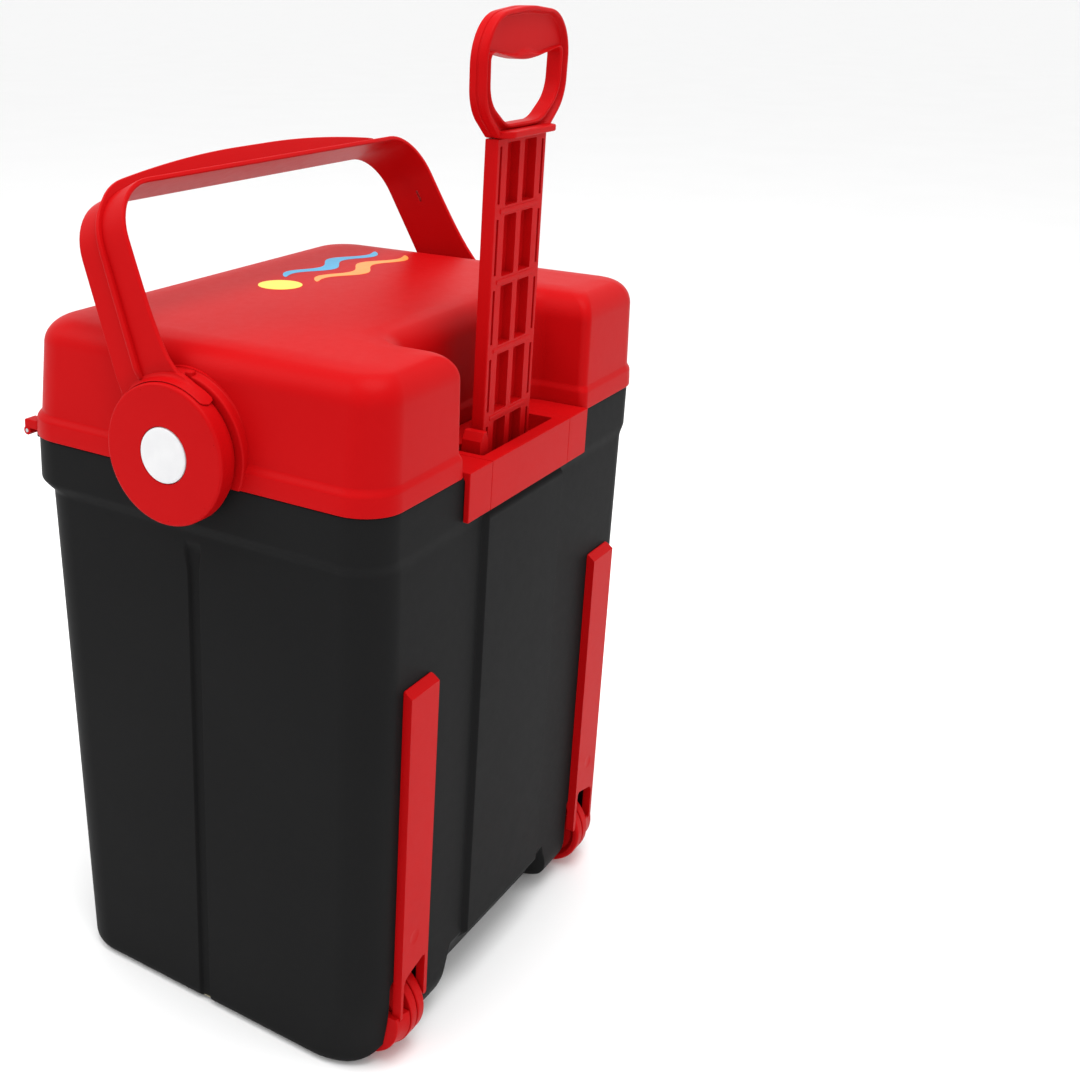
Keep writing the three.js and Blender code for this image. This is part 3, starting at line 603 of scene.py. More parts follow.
def build_tub():
    rings = [[(x, y, z) for x, y in tub_outline(z, inset)] for z, inset in tub_levels()]
    # over the rim and down inside to a floor that nothing shows
    rings.append([(x, y, RIM_Z) for x, y in tub_outline(RIM_Z, WALL - 0.2)])
    for z in (RIM_Z - 0.6, 392, 378, 80):
        rings.append([(x, y, z) for x, y in tub_outline(z, WALL)])
    tub = new_piece("tub_shell", *loft(rings), BLACK)

    pocket = []
    for side in (-1, 1):
        x0, x1 = sorted((side * POCKET_X0, side * POCKET_X1))
        top_corner = (x1, BACK_Y + 30, POCKET_TOP_Z)
        pocket.append(block("pocket", (x0, POCKET_Y0, -20), top_corner, BLACK, 5, 4))
    lift = [
        block("lift", (-RIM_X - 5, -84, -9), (RIM_X + 5, 78, FOOT_HEIGHT), BLACK, 1.2, 2),
        block("lift", (-150, BASE_FRONT_Y + 18, -9), (150, 106, FOOT_HEIGHT), BLACK, 1.2, 2),
    ]
    seat = block(
        "seat",
        (bracket_low.x - 0.4, bracket_low.y - 1, bracket_high.z - PLATE_THICK - 0.4),
        (bracket_high.x + 0.4, BACK_Y + 40, RIM_Z + 20),
        BLACK,
    )
    carve(tub, pocket + lift + [seat])
    finished(tub, "root", "black_plastic", "outer_shell")


build_tub()


# ---------- inner liner ----------
CAVITY_FLOOR_Z = 24.5
CAVITY_CORNER = 24
LINER_WALL = 2


def cavity_outline(z, grow):
    t = (z - CAVITY_FLOOR_Z) / (RIM_Z - CAVITY_FLOOR_Z)
    x = lerp(163, 176, t) + grow
    front = lerp(-101, -128, t) - grow
    back = lerp(80, 84, t) + grow
    radius = CAVITY_CORNER + grow
    return rounded_outline(
        [(-x, front, radius), (x, front, radius), (x, back, radius), (-x, back, radius)], 12
    )


def build_liner():
    floor_round = 10
    wall = LINER_WALL
    bottom = cavity_outline(CAVITY_FLOOR_Z, wall - floor_round)
    rings = [[(x, y, CAVITY_FLOOR_Z - wall) for x, y in bottom]]
    rings += [[(x, y, 32) for x, y in cavity_outline(32, wall)]]
    rings += [[(x, y, RIM_Z - 3.2) for x, y in cavity_outline(RIM_Z, wall)]]
    for step in arc(0, 0, 2.4, 90, 0, 4):
        rings.append([(x, y, RIM_Z - 2.5 + step[1]) for x, y in cavity_outline(RIM_Z, 2.4 - step[0])])
    rings += [[(x, y, 120) for x, y in cavity_outline(120, 0)]]
    for s in range(7):
        a = math.radians(90 * s / 6)
        inset = floor_round * (1 - math.cos(a))
        z = CAVITY_FLOOR_Z + floor_round * (1 - math.sin(a))
        rings.append([(x, y, z) for x, y in cavity_outline(CAVITY_FLOOR_Z + floor_round, -inset)])
    liner = new_piece("chamber_liner", *loft(rings), LINER)
    # the flange over the foam, which goes round the bracket at the back
    edge_x, edge_y = 195.8, 146.8
    notch_x, notch_y = NOTCH_X + 0.5, NOTCH_Y - 0.3
    edge = rounded_outline(
        [
            (-edge_x, -edge_y, 30),
            (edge_x, -edge_y, 30),
            (edge_x, edge_y, 26),
            (notch_x, edge_y, 1),
            (notch_x, notch_y, 19),
            (-notch_x, notch_y, 19),
            (-notch_x, edge_y, 1),
            (-edge_x, edge_y, 26),
        ],
        12,
    )
    flange = new_piece("flange", *slab(edge, "z", RIM_Z - 3, RIM_Z - 0.15), LINER)
    mouth = new_piece("mouth", *slab(cavity_outline(RIM_Z, 1), "z", RIM_Z - 9, RIM_Z + 9), LINER)
    carve(flange, [mouth])
    carve(liner, [flange], operation="UNION")
    finished(liner, "root", "liner_plastic", "inner_liner")


build_liner()


# ---------- lid ----------
def lid_outline(inset, back_inset, steps=12):
    x = LID_X - inset
    front = -LID_Y + inset
    back = LID_Y - back_inset
    notch_x = NOTCH_X + back_inset
    notch_y = NOTCH_Y - back_inset
    front_r = max(FRONT_CORNER - 0.5 * inset, 12)
    back_r = max(BACK_CORNER - 0.5 * inset, 10)
    convex_r = NOTCH_CORNER + 0.2 * back_inset
    concave_r = NOTCH_INNER_CORNER + 0.5 * back_inset
    return rounded_outline(
        [
            (-x, front, front_r),
            (x, front, front_r),
            (x, back, back_r),
            (notch_x, back, convex_r),
            (notch_x, notch_y, concave_r),
            (-notch_x, notch_y, concave_r),
            (-notch_x, back, convex_r),
            (-x, back, back_r),
        ],
        steps,
    )


def lid_levels():
    """(height, inset at the front and ends, inset at the back) from the rim to the flat top."""
    levels = [(LID_BASE_Z, 0.8, 0.8), (LID_BASE_Z + 0.3, 0.25, 0.25), (LID_BASE_Z + 0.9, 0, 0)]
    levels += [(430, 0.2, 0.2), (435.5, 0.5, 0.5)]
    for s in range(1, 8):
        t = s / 7
        draw = t * t * (3 - 2 * t)
        levels.append((lerp(435.5, 441.5, t), lerp(0.5, 3.6, draw), lerp(0.5, 2.3, draw)))
    wall_top = 489.1
    for s in range(1, 6):
        t = s / 5
        levels.append((lerp(441.5, wall_top, t), lerp(3.6, 6.6, t), lerp(2.3, 3.1, t)))
    for s in range(1, 13):
        a = math.radians(77 * s / 12)
        draw = 1 - math.cos(a)
        levels.append((wall_top + 19.4 * math.sin(a), 6.6 + 20 * draw, 3.1 + 16.5 * draw))
    start_z, start_in, start_back = levels[-1]
    for s in range(1, 7):
        t = s / 6
        z = lerp(LID_TOP_Z, start_z, (1 - t) ** 2)
        levels.append((z, lerp(start_in, 40, t), lerp(start_back, 30, t)))
    return levels


def build_lid():
    outer = [[(x, y, z) for x, y in lid_outline(a, b)] for z, a, b in lid_levels()]
    inner = []
    for z, a in ((LID_BASE_Z, 2.4), (LID_BASE_Z + 0.5, 3), (436, 6), (485, 10), (500, 16), (505, 30)):
        inner.append([(x, y, z) for x, y in lid_outline(a, min(a, 20))])
    rings = list(reversed(outer)) + inner
    lid = new_piece("lid_dome", *loft(rings), RED, 40)
    finished(lid, "lid", "red_plastic", "lid_shell")

    for name, side in SIDES:
        build_boss(name, side)
        build_lid_knuckles(name, side)


def build_boss(name, side):
    """The raised ring on the lid's end that the handle turns on, and its post."""
    face_x = 200.9
    profile = [(188, BOSS_R + 2.4), (194.2, BOSS_R + 1.9)]
    profile += [(x, r) for r, x in arc(BOSS_R + 1.9, 195.6, 1.4, 260, 184, 4)]
    profile += [(x, r) for r, x in arc(BOSS_R - 1.4, face_x - 1.4, 1.4, 10, 90, 5)]
    profile += [(face_x, 12.5), (disc_low.x + 2.8, 11), (disc_low.x + 2.8, 2.6), (188, 2.6)]
    ring = new_piece("lid_boss_" + name, *turned(profile, PIVOT_Y, PIVOT_Z, 128), RED)
    below = block("below", (150, -200, 300), (260, 200, LID_BASE_Z + 0.1), RED)
    carve(ring, [below])
    nub_y, nub_z = (BOSS_R * f(math.radians(81)) for f in (math.cos, math.sin))
    nub = block(
        "nub",
        (face_x - 5, PIVOT_Y + nub_y - 3, PIVOT_Z + nub_z - 3),
        (face_x + 0.1, PIVOT_Y + nub_y + 3, PIVOT_Z + nub_z + 2.2),
        RED,
        1.2,
        3,
    )
    carve(ring, [nub], operation="UNION")
    finished(placed_on(side, ring), "lid", "red_plastic")


def knuckle(name, x0, x1, z0, z1, material):
    """A rolled hinge eye with the web that joins it to the wall behind."""
    radius = 3.4
    edge = 0.5
    profile = [(x0, 1.6), (x0, radius - edge), (x0 + edge, radius)]
    profile += [(x1 - edge, radius), (x1, radius - edge), (x1, 1.6)]
    eye = new_piece(name, *turned(profile, HINGE_Y, HINGE_Z, 40), material)
    web = block(name + "_web", (x0 + 0.1, HINGE_Y - 2.4, z0), (x1 - 0.1, -LID_Y + 7, z1), material, 0.9)
    bore = new_piece(
        "bore", *solid_turned([(x0 - 5, 1.6), (x1 + 5, 1.6)], HINGE_Y, HINGE_Z, 24), material
    )
    carve(web, [bore])
    return carve(eye, [web], operation="UNION")


KNUCKLE_X = 152
KNUCKLE_PITCH = 11.8
KNUCKLE_LENGTH = 11.4


def build_lid_knuckles(name, side):
    for index, tag in ((0, "a"), (2, "b")):
        x0 = KNUCKLE_X + index * KNUCKLE_PITCH
        x0, x1 = sorted((side * x0, side * (x0 + KNUCKLE_LENGTH)))
        piece = knuckle(f"lid_knuckle_{name}_{tag}", x0, x1, LID_BASE_Z + 0.3, 430, RED)
        finished(piece, "lid", "red_plastic")


def build_tub_knuckles():
    for name, side in SIDES:
        x0 = KNUCKLE_X + KNUCKLE_PITCH
        x0, x1 = sorted((side * x0, side * (x0 + KNUCKLE_LENGTH)))
        piece = knuckle(f"tub_knuckle_{name}", x0, x1, 413, HINGE_Z, BLACK)
        finished(piece, "root", "black_plastic")


build_lid()
build_tub_knuckles()


def build_lid_liner():
    low, high = box_mm("lid_liner")
    plug = rounded_outline([(-172, -124, 20), (172, -124, 20), (172, 80, 20), (-172, 80, 20)], 12)
    inner = rounded_outline([(-170, -122, 18), (170, -122, 18), (170, 78, 18), (-170, 78, 18)], 12)
    rings = [[(x, y, low.z) for x, y in inner], [(x, y, low.z + 2) for x, y in plug]]
    rings += [[(x, y, high.z - 2.3) for x, y in plug], [(x, y, high.z - 1.2) for x, y in plug]]
    plug_piece = new_piece("lid_plug", *loft(rings), LINER)
    edge = lid_outline(3.9, 3.9)
    plate = new_piece("plate", *slab(edge, "z", high.z - 2.4, high.z), LINER)
    carve(plug_piece, [plate], operation="UNION")
    finished(plug_piece, "lid", "liner_plastic", "lid_liner")


build_lid_liner()


# ---------- decal: a plain sun beside two waves ----------
SUN_YELLOW = moulded_plastic("sun_ink", (0.95, 0.62, 0.03), (1.0, 0.70, 0.05), 0.36, grain=0.02)
WAVE_ORANGE = moulded_plastic("orange_ink", (0.93, 0.22, 0.01), (1.0, 0.28, 0.02), 0.36, grain=0.02)
WAVE_BLUE = moulded_plastic("blue_ink", (0.01, 0.28, 0.52), (0.015, 0.34, 0.60), 0.36, grain=0.02)


def decal_piece(name, outline, material):
    """A film on the lid's flat top."""
    piece = new_piece(name, *slab(outline, "z", LID_TOP_Z - 0.3, LID_TOP_Z + 0.12), material)
    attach(piece, "lid")


def wave_outline(x0, x1, y, height, length, half):
    upper = []
    lower = []
    steps = 72
    for step in range(steps + 1):
        t = step / steps
        x = lerp(x0, x1, t)
        middle = y + height * math.sin(TAU * (x - x0) / length)
        taper = half * math.sin(math.pi * t) ** 0.5
        upper.append((x, middle + taper))
        lower.append((x, middle - taper))
    return lower + upper[-2:0:-1]


def build_decal():
    decal_piece("decal_sun", arc(6, -60, 17, 0, 360 - 5, 71), SUN_YELLOW)
    decal_piece("decal_wave_near", wave_outline(-152, -20, -44, 7, 66, 7), WAVE_ORANGE)
    decal_piece("decal_wave_far", wave_outline(-152, -20, -74, 7, 66, 7), WAVE_BLUE)


build_decal()


# ---------- carry handle ----------
def upright(x, w, s):
    """A point of the handle's own frame, leant forward about the pivot."""
    return (
        x,
        PIVOT_Y + w * math.cos(HANDLE_TILT) - s * math.sin(HANDLE_TILT),
        PIVOT_Z + w * math.sin(HANDLE_TILT) + s * math.cos(HANDLE_TILT),
    )


def handle_path():
    """Points and outward normals of the strap's outer face, from foot to foot, in x and s."""
    corners = [
        (LEG_X, LEG_FOOT_S, 0),
        (LEG_X, 57, 34),
        (SHOULDER_X, GRIP_S, SHOULDER_R),
        (-SHOULDER_X, GRIP_S, SHOULDER_R),
        (-LEG_X, 57, 34),
        (-LEG_X, LEG_FOOT_S, 0),
    ]
    points = [Vector(corners[0][:2])]
    for i in range(1, len(corners) - 1):
        points += [Vector(point) for point in rounded_corner(corners, i, 12)]
    points.append(Vector(corners[-1][:2]))
    dense = [points[0]]
    for a, b in zip(points, points[1:]):
        spacing = 3 if a.y < 80 else 9
        pieces = max(1, int((b - a).length / spacing))
        dense += [a.lerp(b, k / pieces) for k in range(1, pieces + 1)]
    result = []
    for i, point in enumerate(dense):
        before = dense[max(0, i - 1)]
        after = dense[min(len(dense) - 1, i + 1)]
        along = (after - before).normalized()
        result.append((point, Vector((along.y, -along.x))))
    return result


def strap_section(thick, width, radius):
    """Rounded rectangle: (depth below the outer face, w), with its corners as quarter rounds."""
    outline = rounded_outline(
        [
            (-width / 2, -thick, radius),
            (width / 2, -thick, radius),
            (width / 2, 0, radius),
            (-width / 2, 0, radius),
        ],
        4,
    )
    return [(depth, w) for w, depth in outline]


def build_strap():
    section = strap_section(STRAP_THICK, STRAP_WIDTH, 1.1)
    rings = []
    for point, normal in handle_path():
        flare = 14.5 * math.exp((LEG_FOOT_S - point.y) / 22)
        ring = []
        for depth, w in section:
            spot = point + normal * depth
            wide = w + flare if w > 0 else w
            ring.append(upright(spot.x, wide + STRAP_SHIFT, spot.y))
        rings.append(ring)
    strap = new_piece("carry_strap", *loft(rings), RED, 40)
    slot_corners = [(1.9, 120, 0.9), (4.3, 120, 0.9), (4.3, 130, 0.9), (1.9, 130, 0.9)]
    slot_outline = rounded_outline(slot_corners, 4)
    rings = [[upright(x, w + STRAP_SHIFT, s) for w, s in slot_outline] for x in (-215, -170)]
    slot_cut = new_piece("slot_cut", *loft(rings), RED)
    carve(strap, [slot_cut], 40)
    finished(strap, "carry_handle", "red_plastic", "carry_handle")


def build_fin():
    """A thin rib on the strap's outer face that rises into an arch over the grip."""
    rings = []
    for point, normal in handle_path():
        if point.y < 50:
            continue
        half = lerp(2.2, 1.3, smoothstep(120, GRIP_S - 6, point.y))
        along_grip = 1 - abs(point.x) / (SHOULDER_X - 12)
        crown = 0
        if along_grip > 0 and point.y > GRIP_S - 12:
            crown = 13.2 * math.sin(math.pi / 2 * min(1, along_grip * 1.12)) ** 0.85
        start = smoothstep(42, 60, point.y)
        height = 3.4 * start + crown
        section = [(-0.9, -half), (height - 1.1, -half), (height - 0.35, -half * 0.72)]
        section += [(height, -half * 0.25), (height, half * 0.25), (height - 0.35, half * 0.72)]
        section += [(height - 1.1, half), (-0.9, half)]
        ring = []
        for rise, w in section:
            spot = point + normal * rise
            ring.append(upright(spot.x, w + STRAP_SHIFT, spot.y))
        rings.append(ring)
    fin = new_piece("carry_fin", *loft(rings), RED, 40)
    finished(fin, "carry_handle", "red_plastic")


def polar(radius, degrees):
    """A point about the pivot in the upright frame, from an angle measured in the standing pose."""
    a = math.radians(degrees) - HANDLE_TILT
    return radius * math.cos(a), radius * math.sin(a)


def build_foot(name, side):
    """The flared plate at the bottom of a leg, which hugs the disc."""
    front = STRAP_SHIFT - STRAP_WIDTH / 2
    back = STRAP_SHIFT + STRAP_WIDTH / 2
    outline = [(front + 0.4, 57.5), (front, 54), (front - 1.5, 46), (front - 5, 38)]
    outline += [polar(46, a) for a in range(168, 417, 8)]
    outline += [(back + 13.5, 36.5), (back + 10.2, 41), (back + 7.4, 47), (back + 5.2, 54)]
    outline += [(back + 4.2, 57.5)]
    foot = new_piece("carry_foot_" + name, *slab_upright(outline, FOOT_X0, FOOT_X1, side), RED)
    bevel(foot, 0.9, 3, 35)
    finished(foot, "carry_handle", "red_plastic")


def build_lip(name, side):
    """The foot's curved lip over the disc's rim, with its round end and the fillet up to the leg."""
    rim = disc_high.y - PIVOT_Y + 0.3
    inner_x = FOOT_X0 + 0.4
    rings = []
    steps = 48
    for step in range(steps + 1):
        t = step / steps
        degrees = lerp(50.5, 141, t)
        tuck = math.sqrt(max(0, 1 - (1 - min(1, t * 16)) ** 2))
        near = lerp(208.5, inner_x, tuck)
        reach = lerp(210, 214.8, tuck)
        rise = 3.2 * smoothstep(0.2, 0.42, t) * (1 - smoothstep(0.9, 1, t))
        ring = []
        for x, r in (
            (near, rim),
            (reach - 0.4, rim),
            (reach, rim + 0.3),
            (reach - 0.25, rim + 0.65),
            (reach - 0.8, rim + 0.85),
            (lerp(near, reach, 0.66), rim + 0.9),
            (lerp(near, reach, 0.52), rim + 0.95 + rise * 0.07),
            (lerp(near, reach, 0.42), rim + 1.0 + rise * 0.3),
            (lerp(near, reach, 0.36), rim + 1.0 + rise * 0.62),
            (lerp(near, reach, 0.33), rim + 1.0 + rise),
            (near + 0.3, rim + 1.0 + rise),
            (near, rim + 0.6 + rise),
        ):
            w, s = polar(r, degrees)
            ring.append(upright(side * x, w, s))
        rings.append(ring)
    lip = new_piece("carry_lip_" + name, *loft(rings), RED, 45)
    finished(lip, "carry_handle", "red_plastic")


def slab_upright(outline, x0, x1, side):
    rings = []
    for x in (x0, x1):
        rings.append([upright(side * x, w, s) for w, s in outline])
    return loft(rings)


build_strap()
build_fin()
for name, side in SIDES:
    build_foot(name, side)
    build_lip(name, side)


# ---------- hubs ----------
def build_hub(name, side):
    x0, x1 = disc_low.x, disc_high.x
    rim_r = disc_high.y - PIVOT_Y
    cap_r = cap_high.y - PIVOT_Y - 0.4
    profile = [(x0, 12), (x0, rim_r - 1.0), (x0 + 0.3, rim_r - 0.3), (x0 + 1, rim_r)]
    profile += [(x1 - 2.4, rim_r)]
    profile += [(x, r) for r, x in arc(rim_r - 2, x1 - 2, 2, 15, 90, 5)]
    profile += [(x1, rim_r - 3), (x1, cap_r + 1.3), (x1 - 0.2, cap_r + 0.6), (x1 - 0.6, cap_r + 0.35)]
    profile += [(x1 - 2.6, cap_r + 0.35), (x1 - 2.6, 14.4), (x0 + 3.2, 14.4), (x0 + 3.2, 12)]
    disc = new_piece("handle_disc_" + name, *turned(profile, PIVOT_Y, PIVOT_Z, 160), RED)
    marks = []
    for degrees in (113, 80, 20, -40, -85, -150):
        y = PIVOT_Y + 44.6 * math.cos(math.radians(degrees))
        z = PIVOT_Z + 44.6 * math.sin(math.radians(degrees))
        marks.append(new_piece("mark", *solid_turned([(x1 - 0.35, 0.35), (x1 + 1, 0.5)], y, z, 12), RED))
    carve(disc, marks)
    outer = cap_high.x
    dome = [(x1 - 2.2, cap_r - 0.4), (x1 - 2.0, cap_r), (x1 - 0.5, cap_r), (x1 + 0.1, cap_r - 0.25)]
    dome += [(outer - 0.45, cap_r - 0.9), (outer - 0.2, cap_r - 2.2)]
    dome += [(outer - 0.06, cap_r - 6), (outer, 6)]
    cap = new_piece("disc_cap_" + name, *solid_turned(dome, PIVOT_Y, PIVOT_Z, 128), WHITE)
    finished(placed_on(side, disc), "carry_handle", "red_plastic", "hub_disc_" + name)
    finished(placed_on(side, cap), "carry_handle", "white_plastic", "hub_cap_" + name)


for name, side in SIDES:
    build_hub(name, side)


# ---------- pull handle ----------
def ray_radius(outline, centre, angle):
    """Distance from the centre to a star-shaped outline along an angle."""
    direction = Vector((math.cos(angle), math.sin(angle)))
    best = 0
    for i, start in enumerate(outline):
        a = Vector(start) - centre
        b = Vector(outline[(i + 1) % len(outline)]) - centre
        edge = b - a
        cross = direction.x * edge.y - direction.y * edge.x
        if abs(cross) < 1e-9:
            continue
        distance = (a.x * edge.y - a.y * edge.x) / cross
        share = (a.x * direction.y - a.y * direction.x) / cross
        if distance > 0 and -1e-6 <= share <= 1 + 1e-6:
            best = max(best, distance)
    return best


def build_grip():
    """A D-shaped ring: rounded rim, a channel round its face that widens at the top, and a hand lip."""
    base = grip_low.z
    top = grip_high.z
    half = grip_high.x
    y0 = grip_low.y
    y1 = shaft_high.y + 1.6
    outer = rounded_outline(
        [
            (-34.5, base, 2),
            (34.5, base, 2),
            (half - 1.8, base + 19.5, 30),
            (half + 0.5, top - 5.3, 32),
            (0, top + 0.5, 130),
            (-half - 0.5, top - 5.3, 32),
            (-half + 1.8, base + 19.5, 30),
        ],
        14,
    )
    inner = rounded_outline(
        [
            (-24, base + 8.2, 26),
            (24, base + 8.2, 26),
            (49, base + 24, 22),
            (50, top - 27, 5),
            (0, top - 35, 110),
            (-50, top - 27, 5),
            (-49, base + 24, 22),
        ],
        10,
    )
    centre = Vector((0, (base + top) / 2 - 2))
    # across the ring from the inner edge to the outer: (share, offset mm, y)
    face = y1
    middle = (y0 + y1) / 2
    profile = [
        (0, 1.2, y0), (0, 0.3, y0 + 0.4), (0, 0, y0 + 1.4),
        (0, 0, face - 2.6), (0, 0.4, face - 1.6), (0, 1.4, face - 1.0), (0, 2.6, face - 1.2),
        (0, 3.4, face - 2.2), (0, 4.0, face - 3.2), (0, 5.0, face - 3.7),
        (1, -5.2, face - 3.7), (1, -4.2, face - 3.0), (1, -3.6, face - 1.0), (1, -2.6, face),
        (1, -1.2, face), (1, -0.4, face - 0.5), (1, 0, face - 1.4),
        (1, 0, middle + 0.9), (1, -0.5, middle + 0.5), (1, -0.5, middle - 0.5), (1, 0, middle - 0.9),
        (1, 0, y0 + 1.4), (1, -0.4, y0 + 0.4), (1, -1.2, y0),
    ]
    count = 288
    rings = []
    for share, offset, y in profile:
        ring = []
        for i in range(count):
            a = TAU * i / count
            near = ray_radius(inner, centre, a)
            far = ray_radius(outer, centre, a)
            bead = 1 + 0.6 * max(0, math.sin(a)) * (1 - share)
            radius = lerp(near, far, share) + offset * bead
            ring.append((centre.x + radius * math.cos(a), y, centre.y + radius * math.sin(a)))
        rings.append(ring)
    grip = new_piece("pull_ring", *closed_loft(rings), RED, 40)
    finished(grip, "pull_handle", "red_plastic", "pull_grip")

    tab_outline = rounded_outline(
        [
            (-35.5, shaft_high.y - 4, 1),
            (35.5, shaft_high.y - 4, 1),
            (35.5, grip_high.y, 8),
            (-35.5, grip_high.y, 8),
        ],
        6,
    )
    tab = new_piece("thumb_tab", *slab(tab_outline, "z", base + 0.1, base + 4.5), RED)
    bevel(tab, 1.0, 3)
    finished(tab, "pull_handle", "red_plastic")


def build_stem():
    """The ladder-ribbed stem: channels and narrow slots between its ribs, and proud cross ribs."""
    low, high = shaft_low, shaft_high
    stem = block("pull_stem", low, high, RED, 0.8, 3)
    pitch = 47.6
    channels = ((3.4, 21, 3.2, 0.9), (28.8, 31.8, 5.0, 0.4))
    cutters = []
    ribs = []
    for bay in range(6):
        rung = high.z - bay * pitch
        for inner, outer, margin, edge in channels:
            top = rung - margin
            bottom = max(rung - pitch + margin, low.z + 4)
            for side in (-1, 1):
                x0, x1 = sorted((side * inner, side * outer))
                corner = (x0, low.y + 2.5, bottom)
                cutters.append(block("channel", corner, (x1, high.y + 5, top), RED, edge, 2))
        if bay:
            near, far = (-27.5, high.y - 2, rung - 1.7), (27.5, high.y + 0.5, rung + 1.7)
            ribs.append(block("rib", near, far, RED, 0.6, 2))
    carve(stem, cutters)
    carve(stem, ribs, operation="UNION")
    finished(stem, "pull_handle", "red_plastic", "pull_shaft")


build_grip()
build_stem()


# ---------- bracket and catch ----------
def build_bracket():
    """Three mouldings in a row: the middle one holds the tray, the ends follow the lid's recess."""
    x = bracket_high.x
    top = bracket_high.z
    plate = top - PLATE_THICK
    lip_y = PANEL_FACE_Y - 2.6
    inner_y = NOTCH_Y + 0.6
    section = [(lip_y, bracket_low.z), (bracket_high.y, bracket_low.z), (bracket_high.y, top)]
    section += [(inner_y, top), (inner_y, plate), (lip_y, plate)]
    seam_x = 60
    seam = 0.12

    middle = new_piece("stem_bracket", *slab(section, "x", seam - seam_x, seam_x - seam), RED)
    well = block(
        "well",
        (-TRAY_X - TRAY_WALL, TRAY_Y0 - TRAY_WALL, TRAY_Z - TRAY_WALL),
        (TRAY_X + TRAY_WALL, TRAY_Y1 + TRAY_WALL, top - 1),
        RED,
    )
    carve(middle, [well], operation="UNION")
    tray = block("tray", (-TRAY_X, TRAY_Y0, TRAY_Z), (TRAY_X, TRAY_Y1, top + 5), RED, 1.5, 3)
    passage = block(
        "passage",
        (shaft_low.x - RUNNING, shaft_low.y - RUNNING, TRAY_Z - 9),
        (shaft_high.x + RUNNING, shaft_high.y + RUNNING, TRAY_Z + 9),
        RED,
    )
    carve(middle, [tray, passage])
    bevel(middle, 0.6, 3)
    finished(middle, "root", "red_plastic", "handle_bracket")

    corner_r = NOTCH_INNER_CORNER
    for name, side in SIDES:
        x0, x1 = sorted((side * (seam_x + seam), side * x))
        wing = new_piece("bracket_end_" + name, *slab(section, "x", x0, x1), RED)
        corner = arc(x - corner_r, inner_y + corner_r, corner_r, -90, 0, 12)
        corner += [(x + 3, inner_y + corner_r), (x + 3, inner_y - 3), (x - corner_r, inner_y - 3)]
        outline = [(side * px, py) for px, py in corner]
        cutter = new_piece("corner", *slab(outline, "z", plate - 3, top + 3), RED)
        carve(wing, [cutter])
        bevel(wing, 0.6, 3)
        finished(wing, "root", "red_plastic")


def build_catch():
    low, high = box_mm("shaft_catch")
    outline = [(low.x, low.z), (high.x, low.z), (high.x, high.z - 6)]
    outline += [(high.x - 4, high.z), (low.x + 3.4, high.z)]
    outline += [(x, z) for x, z in arc(low.x + 3.4 - 6, high.z - 1, 6, 0, -50, 5)]
    catch = new_piece("stem_catch", *slab(outline, "y", low.y, high.y), RED)
    bevel(catch, 0.7, 3, 40)
    finished(catch, "shaft_catch", "red_plastic", "shaft_catch")


build_bracket()
build_catch()


# ---------- wheels and guards ----------
def build_wheel(name, side):
    radius = inner_wheel_high.z - WHEEL_Z
    bore = 3.4
    x0, x1 = inner_wheel_low.x, inner_wheel_high.x
    inner = [(x0, bore), (x0, 9), (x0 + 1, 10.5), (x0 + 3, 11), (x0 + 3, 25)]
    inner += [(x0 + 0.6, 27), (x0, 28), (x0, radius - 2.6)]
    inner += [(x, r) for r, x in arc(radius - 2.4, x0 + 2.4, 2.4, -80, 0, 5)]
    inner += [(x1 - 1.2, radius), (x1 - 0.4, radius - 0.4), (x1, radius - 1.4), (x1, bore)]
    x2, x3 = outer_wheel_low.x, outer_wheel_high.x
    shoulder = x2 + 7.6
    outer = [(x2, bore), (x2, radius - 1.4), (x2 + 0.4, radius - 0.4), (x2 + 1.2, radius)]
    outer += [(shoulder - 0.3, radius), (shoulder + 0.1, radius - 0.15), (shoulder + 0.4, radius - 0.45)]
    outer += [(shoulder + 0.4, radius - 5.6), (shoulder + 0.8, radius - 6.1)]
    outer += [(x3 - 0.7, radius - 9.6), (x3 - 0.2, radius - 10), (x3, radius - 10.6)]
    outer += [(x3, 20), (x3 - 0.6, 18.6), (x3 - 3, 18), (x3 - 3, 11)]
    outer += [(x3 - 0.8, 10), (x3, 8.6), (x3, bore)]
    halves = (("inner", inner), ("outer", outer))
    for tag, profile in halves:
        title = f"wheel_{tag}_{name}"
        placed = [(side * x, r) for x, r in profile]
        piece = new_piece(title, *turned(placed, WHEEL_Y, WHEEL_Z, 128), RED, 24)
        finished(piece, "wheel_" + name, "red_plastic", f"wheel_{tag}_half_{name}")


